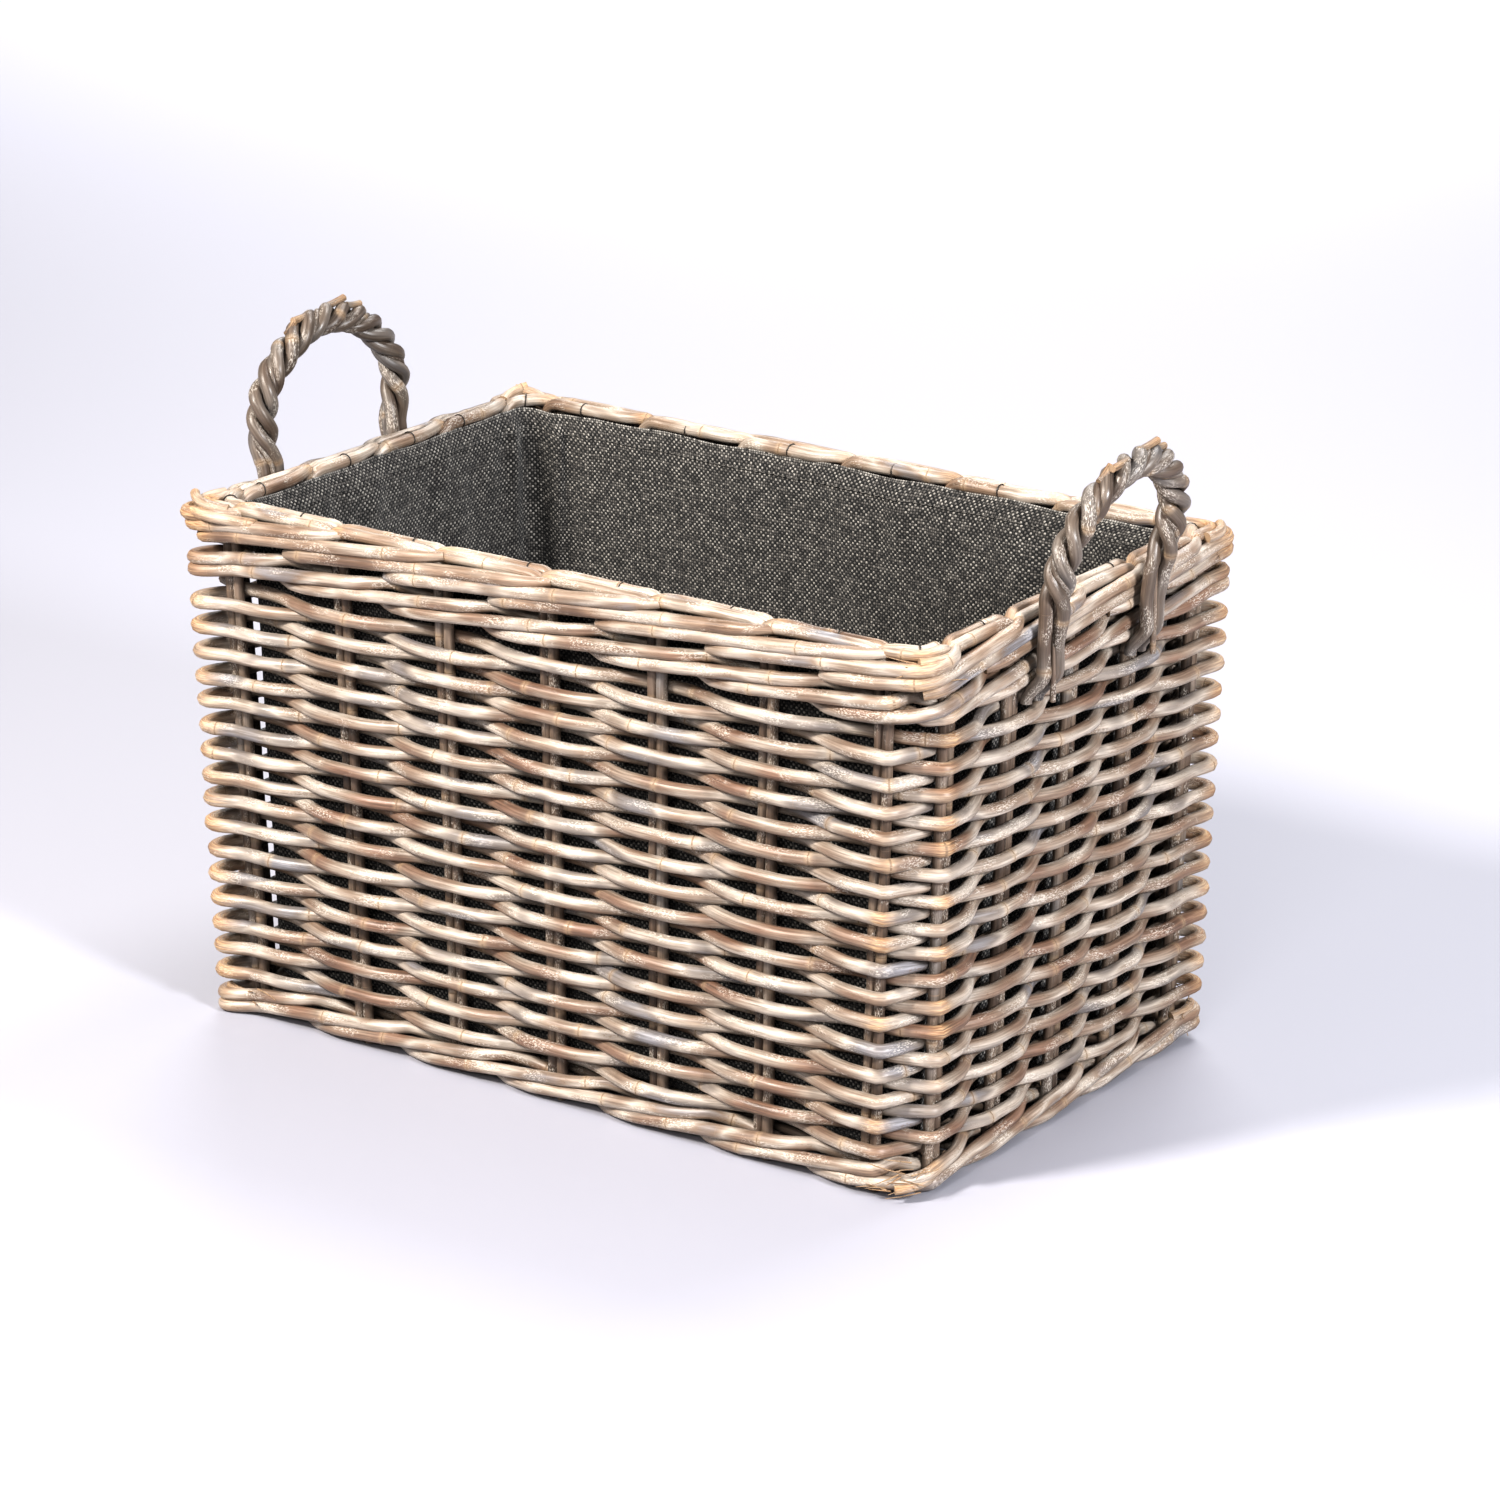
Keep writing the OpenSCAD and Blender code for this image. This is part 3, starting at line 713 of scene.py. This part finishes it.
def rim_line(k, rng):
    """A stake that bends over at its top, runs on inside the rim and dives under the next bend."""
    lead = 6 * MM / bay_l(k)
    along = [(-1.2, -16, 1.5), (-1.0, -8, 1.2), (-0.3, -1.0, -0.6), (0.7, 1.0, -3.4),
             (2.0, 1.0, -6.2)]  # leads from the stake, mm above the rim and mm out
    s = [k + lead * a for a, _, _ in along] + list(np.linspace(k + lead * 4.0, k + 0.9, 7))
    s += [k + 0.985, k + 1.05]
    z = [RIM_Z + dz * MM for _, dz, _ in along] + [RIM_Z + 0.3 * MM] * 7
    z += [RIM_Z - 2.8 * MM, RIM_Z - 8.5 * MM]
    out = [d * MM for _, _, d in along] + [RIM_IN] * 7 + [RIM_IN + 1.0 * MM, RIM_IN + 2.5 * MM]
    s, z, out = np.array(s), np.array(z), np.array(out)
    z[5:12] += rng.normal(0, 0.4 * MM)
    fold = np.zeros(len(s))
    fold[2:4] = rng.uniform(0.2, 0.7)
    thick = np.ones(len(s)) * rng.uniform(0.95, 1.08)
    thick[-2:] = 0.85
    return line(wall(s, z, out), thick, fold)


def top_line(k, rng):
    """The other stake of a pair, bent over to lie between the rim and the border."""
    s = np.concatenate([[k - 0.06, k - 0.04], np.linspace(k + 0.02, k + 0.93, 12), [k + 1.0]])
    z = RIM_Z + rng.normal(-0.2 * MM, 0.4 * MM) + 0.8 * MM * np.sin(np.pi * (s - k))
    out = 0.9 * MM + soft_steps(rng, s, 0.3 * MM) + corner_push(s, 3.5 * MM)
    z[:2] -= [12 * MM, 3 * MM]
    z[-2:] -= [2.0 * MM, 7 * MM]
    fold = np.zeros(len(s))
    fold[1:3] = rng.uniform(0.2, 0.8)
    thick = np.ones(len(s)) * rng.uniform(0.9, 1.02)
    thick[-1] *= 0.8
    return line(wall(s, z, out), thick, np.maximum(fold, corner_push(s, 0.8)))


def rim():
    rng = default_rng(310)
    lines = [rim_line(k, rng) for k in range(TURN)] + [top_line(k, rng) for k in range(TURN)]
    canes("bent_rim_canes", lines, BORDER_FINISH, "border_cane", ["rim_canes"],
          Seed=91, Thickness=ROD_D * 1.1, Unevenness=0.09, Ring_spacing=3 * MM)


# ---- Handles ----

CORE_D = 4 * MM
STRAND_D = 8.2 * MM
SWELL = 0.1  # share by which a handle is wider half-way up than at its legs
WIDEST = 1.075  # width of the swollen hoop as a share of the width between its legs
LEG = 58 * MM
LEAN = {"left": 1, "right": 13}  # degrees by which a handle leans outwards
LAY = 50 * MM  # length of rope in which a strand goes round once


def bow(d, width, rise):
    """A handle's middle line at lengths d along it: across, up over the border, and the way out."""
    r = width / 2
    post = LEG + rise - r
    arc = math.pi * r
    turn = np.pi * np.clip((d - post) / arc, 0, 1)
    across = -r * np.cos(turn)
    up = np.select([d < post, d < post + arc], [d - LEG, rise - r + r * np.sin(turn)],
                   rise - r - (d - post - arc))
    across = across * (1 + SWELL * np.sin(np.pi * np.clip(up / rise, 0, 1)))
    return across, up, -np.cos(turn), np.sin(turn)


def handle_sizes(side):
    """Width between the legs, rise over the border and middle of a handle, from its core's box."""
    low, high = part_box(f"{side}_handle_core")
    width = (high.y - low.y - CORE_D) / WIDEST
    return width, high.z - CORE_D / 2 - BODY_H, (low.y + high.y) / 2


def rope_lines(side):
    """A handle's core and strands, laid round the bow, then side by side down the legs."""
    sign = -1 if side == "left" else 1
    rng = default_rng(140 + sign)
    width, rise, middle = handle_sizes(side)
    lean = math.tan(math.radians(LEAN[side]))
    rope_r = CORE_D / 2 + 0.3 * MM + STRAND_D
    foot = half_l(BODY_H) + BORDER_OUT + ROD_D / 2 + 0.3 * MM + rope_r
    total = 2 * (LEG + rise - width / 2) + math.pi * width / 2

    def place(across, up, out):
        x = foot + out + lean * np.maximum(0, up)
        return np.stack([sign * x, middle + across, BODY_H + up], -1)

    d = np.linspace(2 * MM, total - 2 * MM, 60)
    across, up, _, _ = bow(d, width, rise)
    core = line(place(across, up, 0 * d), 1.0)
    d = np.linspace(0, total, int(total / (2.6 * MM)))
    across, up, way_y, way_z = bow(d, width, rise)
    turning = 1 - 0.93 * eased(up, 30 * MM, -8 * MM)
    phase = -2 * np.pi * np.cumsum(np.gradient(d) * turning / LAY) * sign
    phase -= phase[len(phase) // 2]
    spread = (CORE_D + STRAND_D) / 2 + 0.1 * MM
    flat = eased(up, 8 * MM, -24 * MM)
    tucked = eased(up, -36 * MM, -57 * MM)
    strands = []
    for q in range(4):
        angle = phase + 2 * np.pi * q / 3 if q < 3 else phase + np.pi / 3
        size = rng.uniform(0.98, 1.07) if q < 3 else 0.5
        c = spread * np.cos(angle) * (1 + 0.16 * flat)
        a = spread * np.sin(angle) * (1 - 0.45 * flat) - 2.6 * MM * flat
        a -= (12 + rng.uniform(-2, 2)) * MM * tucked
        wobble = 0.4 * MM * np.sin(2 * np.pi * (d / rng.uniform(0.05, 0.08) + rng.random()))
        points = place(across + (c + wobble) * way_y, up + (c + wobble) * way_z, a)
        strands.append(line(points, size * (1 - 0.15 * tucked)))
    return core, strands, place, (width, rise, total)


def rope_ends(place, sizes, rng):
    """Short cut ends of canes that stand off a handle, at its top and beside its legs."""
    width, rise, total = sizes
    lines = []
    for share, length, lift, side in (
            (0.5, 17, 5, 1), (0.46, 14, 4, -1), (0.55, 12, 3.5, 1), (0.4, 11, 3, 1)):
        d = share * total + np.linspace(0, length * MM, 5) * side
        across, up, way_y, way_z = bow(d, width, rise)
        off = (8.2 + lift * np.linspace(0, 1, 5) ** 2) * MM
        points = place(across + off * way_y, up + off * way_z, rng.uniform(-4, 4) * MM)
        lines.append(line(points, 0.55, np.linspace(0.1, 0.8, 5)))
    return lines


def handles():
    for i, side in enumerate(("left", "right")):
        core, strands, place, sizes = rope_lines(side)
        canes(f"{side}_handle_bow", [core], STAKE_FINISH, "handle_cane", [f"{side}_handle_core"],
              Seed=120 + i, Thickness=CORE_D, Sides=8)
        *thick_strands, thin_strand = strands
        ends = [thin_strand] + rope_ends(place, sizes, default_rng(160 + i))
        for q, strand in enumerate(thick_strands, 1):
            lines = [strand] + (ends if q == 1 else [])
            canes(f"{side}_handle_rope_{q}", lines, HANDLE_FINISH, "handle_cane",
                  [f"{side}_handle_strand_{q}"], Seed=130 + 5 * i + q, Thickness=STRAND_D * 1.06,
                  Sides=12, Ring_spacing=2.2 * MM, Knot_spacing=0.1, Unevenness=0.09)


# ---- Base ----

def base():
    sticks_low, sticks_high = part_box("base_sticks")
    reach = sticks_high.y
    middle = (sticks_low.z + sticks_high.z) / 2
    lines = []
    for k in range(LAST_LONG + 1):
        for side in (-1, 1):
            x = float(wall(k, 0, 0)[0]) + side * (STAKE_D / 2 + 0.15 * MM)
            lines.append(line([(x, y, middle) for y in np.linspace(-reach, reach, 8)], 0.98))
    canes("base_stick_canes", lines, STAKE_FINISH, "base_cane", ["base_sticks"], Seed=150,
          Thickness=STAKE_D, Ring_spacing=10 * MM)
    low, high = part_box("base_weavers")
    pitch, thick = 7.8 * MM, 5.5 * MM
    count = int(round((high.y - low.y - 7.5 * MM) / pitch / 2))
    rng = default_rng(151)
    lines = []
    for m in range(-count, count + 1):
        end = high.x if abs(m) < count - 1 else high.x - 8 * MM
        s = np.linspace(-0.28, LAST_LONG + 0.28, 60)
        x = wall(np.clip(s, 0, LAST_LONG), 0, 0)[:, 0] + (s - np.clip(s, 0, LAST_LONG)) * 80 * MM
        lift = np.cos(np.pi * (s + m)) * (STAKE_D + thick) / 2
        keep = np.abs(x) < end
        y = np.full(len(x), m * pitch) + rng.normal(0, 0.1 * MM)
        points = np.stack([x, y, middle + lift], -1)
        lines.append(line(points[keep]))
    canes("base_weaver_canes", lines, BASE_FINISH, "base_cane", ["base_weavers"], Seed=152,
          Thickness=6.1 * MM, Ring_spacing=6 * MM, Sides=8)


# ---- Liner ----

YARN_PITCH = 2.0 * MM
LINER_R = 13 * MM  # radius of the bag's corners
ROUND_POINTS = 512  # points in each ring of the bag
HEM = 14 * MM  # depth of the hem at the liner's edge
HEM_RINGS = [0, 0.8, 2.5, 5, 7.5, 10, 12, 13.2, 14, 14.8, 16.5, 19, 22, 26, 31]  # depths in mm
STITCH_RING = HEM_RINGS.index(13.2)
LOWER_RINGS = 28
FLOOR_RUN = 0.012  # how far the bag curves in from its walls to its floor


def cloth_finish():
    """Charcoal hessian: a plain weave of uneven yarns, some of them pale, and painted shade between
    them.
    """
    finish, tree, shader = new_finish(
        "charcoal liner cloth", Roughness=0.92, Specular_IOR_Level=0.2, Sheen_Weight=0.12,
        Sheen_Roughness=0.6)
    place = read(tree, "cloth", "Vector")
    drift = noise(tree, place, 60, 60)
    axes = add(tree, "ShaderNodeSeparateXYZ", [(0, place)])
    turns = [calc(tree, "MULTIPLY_ADD", axes.outputs[i], 1 / YARN_PITCH, times(tree, drift, 0.6))
             for i in (0, 1)]
    cells = [calc(tree, "FLOOR", t) for t in turns]
    parts = [calc(tree, "SUBTRACT", calc(tree, "FRACT", t), 0.5) for t in turns]
    over = calc(tree, "PINGPONG", calc(tree, "ADD", *cells), 1.0)
    under = calc(tree, "SUBTRACT", 1.0, over)

    def seen(warp, weft):
        """warp's value where the warp lies on top and weft's value elsewhere."""
        return calc(tree, "ADD", times(tree, over, warp), times(tree, under, weft))

    def dome(part):
        """1 at the middle of a yarn or of a stitch, and less to the sides."""
        return calc(tree, "SUBTRACT", 1.0, times(tree, calc(tree, "POWER", part, 2.0), 3.6))

    height = times(tree, seen(dome(parts[0]), dome(parts[1])), seen(dome(parts[1]), dome(parts[0])))
    yarns = []
    for i in (0, 1):
        joins = [(0, cells[i]), (1, times(tree, cells[1 - i], 0.09)), (2, 5.0 * i)]
        key = made(tree, "ShaderNodeCombineXYZ", joins)
        joins = [("Vector", key), ("Scale", 3.1), ("Detail", 1.0)]
        yarns.append(add(tree, "ShaderNodeTexNoise", joins).outputs["Fac"])
    warp = blended(tree, graded(tree, yarns[0], 0.38, 0.66),
                   (0.115, 0.105, 0.095, 1.0), (0.36, 0.335, 0.3, 1.0))
    weft = blended(tree, graded(tree, yarns[1], 0.45, 0.72),
                   (0.02, 0.019, 0.018, 1.0), (0.11, 0.1, 0.09, 1.0))
    colour = blended(tree, over, weft, warp)
    lip = times(tree, graded(tree, axes.outputs[1], 3.2 * MM, 0.8 * MM),
                graded(tree, yarns[0], 0.35, 0.6))
    colour = blended(tree, times(tree, lip, 0.8), colour, (0.46, 0.43, 0.39, 1.0))
    # Painted shade: the colour is darkened where the weave is low, in the dips between and under
    # the yarns.
    colour = shaded(tree, colour, graded(tree, height, 0.05, 0.75, 0.12, 1.0))
    tree.links.new(colour, shader.inputs["Base Color"])
    bumped(tree, shader, height, 0.9, 0.7 * MM)
    return finish


def rounded_ring(hl, hw):
    """Points round a rectangle with rounded corners, from the front left, anticlockwise."""
    r = LINER_R
    sides = np.array([2 * (hl - r), math.pi * r / 2, 2 * (hw - r), math.pi * r / 2] * 2)
    starts = np.concatenate([[0], np.cumsum(sides)])
    d = np.arange(ROUND_POINTS) / ROUND_POINTS * starts[-1]
    leg = np.clip(np.searchsorted(starts, d, "right") - 1, 0, 7)
    t = (d - starts[leg]) / sides[leg]
    a = t * math.pi / 2
    along_l, along_w = -(hl - r) + 2 * (hl - r) * t, -(hw - r) + 2 * (hw - r) * t
    xs = [along_l, hl - r + r * np.sin(a), hl + 0 * t, hl - r + r * np.cos(a)]
    ys = [-hw + 0 * t, -hw + r - r * np.cos(a), along_w, hw - r + r * np.sin(a)]
    places = [leg % 4 == i for i in range(4)]
    x, y = np.select(places, xs), np.select(places, ys)
    sign = np.where(leg < 4, 1.0, -1.0)
    return np.stack([x * sign, y * sign], -1), d


def ripple(d, length, waves, seed):
    """A wavy value round the bag, that meets itself."""
    rng = default_rng(seed)
    value = np.zeros(len(d))
    for n in waves:
        size = rng.uniform(0.5, 1.0) / len(waves) ** 0.5
        value += size * np.sin(2 * np.pi * (n * d / length + rng.random()))
    return value


def liner_grid():
    """Rings of points from the hem down the walls and in over the floor of the bag."""
    top, low = LINER_FRONT[1].z + 2.4 * MM, LINER_BASE[1].z - 0.6 * MM
    inner = -(WALL_OUT + 1.5 * MM)
    rings, heights = [], []
    lower = np.linspace(0.038, top - low - FLOOR_RUN, LOWER_RINGS)
    depths = np.concatenate([np.array(HEM_RINGS) * MM, lower])
    for depth in depths:
        z = top - depth
        ring, d = rounded_ring(half_l(z) + inner, half_w(z) + inner)
        outward = unit(ring)
        length = d[-1] + d[1]
        hang = np.sin(np.pi * min(1.0, depth / (top - low)))
        push = 3.4 * MM * (0.3 + 0.7 * hang) * ripple(d, length, (5, 9, 14), 500)
        push += 1.7 * MM * ripple(d + 0.25 * depth, length, (23, 37), 501) * np.exp(-depth / 0.12)
        push += 1.0 * MM * ripple(d - 0.3 * depth, length, (51, 64), 502) * np.exp(-depth / 0.05)
        move = np.minimum(0, push - 3.4 * MM) * np.minimum(1, 0.15 + depth / 0.03)
        move = move + 5.2 * MM * np.exp(-(depth / 0.007) ** 2) - 0.9 * MM * (depth < HEM - 0.1 * MM)
        move = move + 1.0 * MM * np.exp(-((depth - HEM) / (0.6 * MM)) ** 2) - gather(ring, depth)
        ring = ring + outward * move[:, None]
        dip = 1.0 * MM * (ripple(d, length, (12, 24), 503) - 0.9) * np.exp(-depth / 0.03)
        rings.append(ring)
        heights.append(z + dip)
    base_ring = rings[-1]
    for turn in (0.35, 0.7, 1.0):
        inward = FLOOR_RUN * (1 - math.cos(turn * math.pi / 2))
        drop = FLOOR_RUN * math.sin(turn * math.pi / 2)
        rings.append(base_ring * (1 - inward / 0.2))
        heights.append(np.full(ROUND_POINTS, top - depths[-1] - drop))
    floor_ring = rings[-1]
    for share in np.linspace(0.93, 0.02, 22):
        rings.append(floor_ring * np.array([1 - (1 - share) * 0.55, share]))
        heights.append(np.full(ROUND_POINTS, low))
    return np.array([np.column_stack([r, h]) for r, h in zip(rings, heights)])


def gather(ring, depth):
    """How far the bag is drawn in by three pleats at its back left corner and two smaller ones."""
    drawn = np.zeros(len(ring))
    for x, y, size, width, reach in (
            (-0.252, 0.158, 14, 8, 0.12), (-0.274, 0.136, 7, 7, 0.09), (-0.222, 0.158, 5, 7, 0.07),
            (0.05, 0.158, 3, 9, 0.06), (0.262, 0.06, 4, 8, 0.07)):
        near = np.hypot(ring[:, 0] - x, ring[:, 1] - y)
        drawn += size * MM * np.exp(-(near / (width * MM)) ** 2) * math.exp(-(depth / reach) ** 2)
    return drawn * min(1.0, 0.3 + depth / 0.02)


def run_along(points):
    """Length along a row of points, at each of them."""
    return np.concatenate([[0], np.cumsum(np.linalg.norm(np.diff(points, axis=0), axis=1))])


def seam_stitches(grid):
    """A row of short stitches that holds the hem, one after another round the bag."""
    ring = grid[STITCH_RING]
    rng = default_rng(420)
    inward = -unit(ring[:, :2])
    ring = ring + np.column_stack([inward * 0.75 * MM, np.zeros(len(ring))])
    run = run_along(ring)
    lines = []
    for start in np.arange(0, run[-1] - 5 * MM, 5.6 * MM):
        at = start + np.array([0, 1.1, 2.5, 3.6]) * MM
        points = np.column_stack([np.interp(at, run, ring[:, i]) for i in range(3)])
        points[:, 2] += rng.normal(0, 0.15 * MM)
        points[[0, -1], :2] += inward[np.searchsorted(run, start) % len(ring)] * -0.7 * MM
        lines.append(line(points))
    canes("hem_stitches", lines, thread_finish(), "liner_cloth", [], Seed=421, Thickness=0.9 * MM,
          Unevenness=0.1, Knot_height=0.0, Ring_spacing=1.2 * MM, Sides=5)


def thread_finish():
    finish, tree, shader = new_finish("grey hem thread", Roughness=0.85)
    fluff = noise(tree, read(tree, "grain", "Vector"), 3000, 900)
    colour = blended(tree, fluff, (0.05, 0.046, 0.042, 1.0), (0.2, 0.185, 0.165, 1.0))
    tree.links.new(colour, shader.inputs["Base Color"])
    return finish


def cloth_places(mesh, grid, rows, columns):
    """Lays the weave on the bag: round and down its walls, and straight across its floor."""
    count = grid.shape[1]
    index = np.zeros(len(mesh.loops), np.int32)
    mesh.loops.foreach_get("vertex_index", index)
    row, column = index // count, index % count
    round_run, depth = run_along(grid[0]), run_along(grid[:, 0])
    values = np.zeros((len(index), 3), np.float32)
    values[:, 0], values[:, 1] = round_run[column], depth[row]
    face_row = np.append(np.repeat(rows, 4), np.full(count, len(grid)))
    face_column = np.append(np.repeat(columns, 4), np.zeros(count))
    closing = (column == 0) & (face_column == count - 1)
    values[closing, 0] = round_run[-1] + np.linalg.norm(grid[0, 0] - grid[0, -1])
    on_floor = face_row >= len(HEM_RINGS) + LOWER_RINGS
    values[on_floor, :2] = grid.reshape(-1, 3)[index[on_floor], :2] + 1.0
    cloth = mesh.attributes.new("cloth", "FLOAT_VECTOR", "CORNER")
    cloth.data.foreach_set("vector", values.ravel())


def liner():
    grid = liner_grid()
    rows, count = grid.shape[:2]
    i, j = np.meshgrid(np.arange(rows - 1), np.arange(count), indexing="ij")
    a, b = i * count + j, i * count + (j + 1) % count
    faces = np.stack([a, a + count, b + count, b], -1).reshape(-1, 4)
    mesh = bpy.data.meshes.new("liner_bag")
    last = [(rows - 1) * count + n for n in range(count)]
    mesh.from_pydata(grid.reshape(-1, 3).tolist(), [], faces.tolist() + [last[::-1]])
    cloth_places(mesh, grid, i, j)
    bag = placed("liner_bag", mesh)
    mesh.shade_smooth()
    mesh.materials.append(cloth_finish())
    thick = bag.modifiers.new("cloth", "SOLIDIFY")
    thick.thickness, thick.offset = 1.1 * MM, 0
    settle(bag, "liner_cloth",
           "liner_front", "liner_right", "liner_back", "liner_left", "liner_base")
    seam_stitches(grid)


# ---- Ties ----

def tie_tree():
    """A loop of wire at each point, turned to the point's way."""
    tree, size = new_tree("Wire ties", [
        ("Loop radius", "Float", 4.9 * MM), ("Wire", "Float", 0.9 * MM),
        ("Finish", "Material", None)])
    loop = made(tree, "GeometryNodeCurvePrimitiveCircle",
                [("Resolution", 16), ("Radius", size["Loop radius"])])
    wire = made(tree, "GeometryNodeCurvePrimitiveCircle",
                [("Resolution", 5), ("Radius", times(tree, size["Wire"], 0.5))])
    ring = made(tree, "GeometryNodeCurveToMesh", [("Curve", loop), ("Profile Curve", wire)])
    way = named(tree, "way", "FLOAT_VECTOR")
    turn = made(tree, "FunctionNodeAlignEulerToVector", [("Vector", way)], axis="Z")
    joins = [("Points", size["Geometry"]), ("Instance", ring), ("Rotation", turn)]
    points = made(tree, "GeometryNodeInstanceOnPoints", joins)
    return close_tree(tree, points, size["Finish"])


def tie_finish():
    finish, tree, shader = new_finish("dark tie wire", Roughness=0.45)
    place = add(tree, "ShaderNodeTexCoord").outputs["Object"]
    worn = noise(tree, place, 900, 900)
    colour = blended(tree, graded(tree, worn, 0.4, 0.7),
                     (0.02, 0.018, 0.016, 1.0), (0.07, 0.05, 0.035, 1.0))
    tree.links.new(colour, shader.inputs["Base Color"])
    return finish


def ties():
    rng = default_rng(400)
    s = np.array([k + (0.5 if is_corner_bay(k) else 0.64 + rng.uniform(-0.12, 0.14))
                  for k in range(TURN)])
    points = wall(s, RIM_Z + 0.3 * MM, RIM_IN)
    way = wall(s + 0.02, RIM_Z, RIM_IN) - wall(s - 0.02, RIM_Z, RIM_IN)
    way = unit(way) + rng.normal(0, 0.08, (TURN, 3))
    mesh = bpy.data.meshes.new("ties")
    mesh.from_pydata(points.tolist(), [], [])
    ways = mesh.attributes.new("way", "FLOAT_VECTOR", "POINT")
    ways.data.foreach_set("vector", way.astype(np.float32).ravel())
    settle(made_by(tie_tree(), "wire_ties", mesh, Finish=tie_finish()), "tie_wire", "liner_ties")


# ---- Floor, light and camera ----

def floor():
    finish, _, _ = new_finish("pale floor", Base_Color=(0.37, 0.365, 0.4, 1.0), Roughness=0.6)
    mesh = bpy.data.meshes.new("floor")
    mesh.from_pydata([(-12, -6, 0), (12, -6, 0), (12, 16, 0), (-12, 16, 0)], [], [(0, 1, 2, 3)])
    mesh.materials.append(finish)
    ground = placed("floor", mesh)


def lamp(name, place, aim, size, power, colour=(1, 1, 1)):
    light = bpy.data.lights.new(name, "AREA")
    light.shape, light.size, light.energy, light.color = "DISK", size, power, colour
    point_at(placed(name, light), place, aim)


def point_at(item, place, aim):
    item.location = place
    item.rotation_euler = (Vector(aim) - Vector(place)).to_track_quat("-Z", "Y").to_euler()


def lights():
    world = bpy.data.worlds.new("soft room")
    world.use_nodes = True
    sky = world.node_tree.nodes["Background"].inputs
    sky["Color"].default_value, sky["Strength"].default_value = (0.93, 0.95, 1.0, 1.0), 0.27
    bpy.context.scene.world = world
    lamp("key", (-1.0, -2.3, 2.3), (0, 0, 0.2), 0.6, 150, (1.0, 0.97, 0.93))
    lamp("fill", (2.7, -0.7, 1.5), (0, 0, 0.2), 0.6, 105, (0.94, 0.96, 1.0))
    lamp("top", (0.3, 1.6, 2.6), (0, 0, 0.3), 1.2, 45)
    lamp("backdrop", (-2.6, 4.0, 3.2), (-2.9, 5.2, 0), 3.0, 330)
    lamp("foreground", (2.4, -6.2, 3.6), (2.7, -6.8, 0), 3.0, 440)


def camera():
    azimuth, elevation = math.radians(35.71), math.radians(19.47)
    distance, aside, above = 3.366, 0.0293, 0.1733
    back = np.array([math.sin(azimuth) * math.cos(elevation),
                     -math.cos(azimuth) * math.cos(elevation), math.sin(elevation)])
    right = np.array([math.cos(azimuth), math.sin(azimuth), 0.0])
    up = np.cross(back, right)
    place = back * distance + right * aside + up * above
    lens = bpy.data.cameras.new("camera")
    lens.sensor_width, lens.lens = 36.0, 117.43
    lens.shift_y = 0.012
    viewer = placed("camera", lens)
    point_at(viewer, place, place - back)
    bpy.context.scene.camera = viewer


# ---- The basket ----

weavers()
stakes()
wales()
border()
rim()
handles()
base()
liner()
ties()
floor()
lights()
camera()

view = bpy.context.scene.view_settings
view.view_transform = "Standard"
view.exposure, view.gamma = 0.36, 0.75
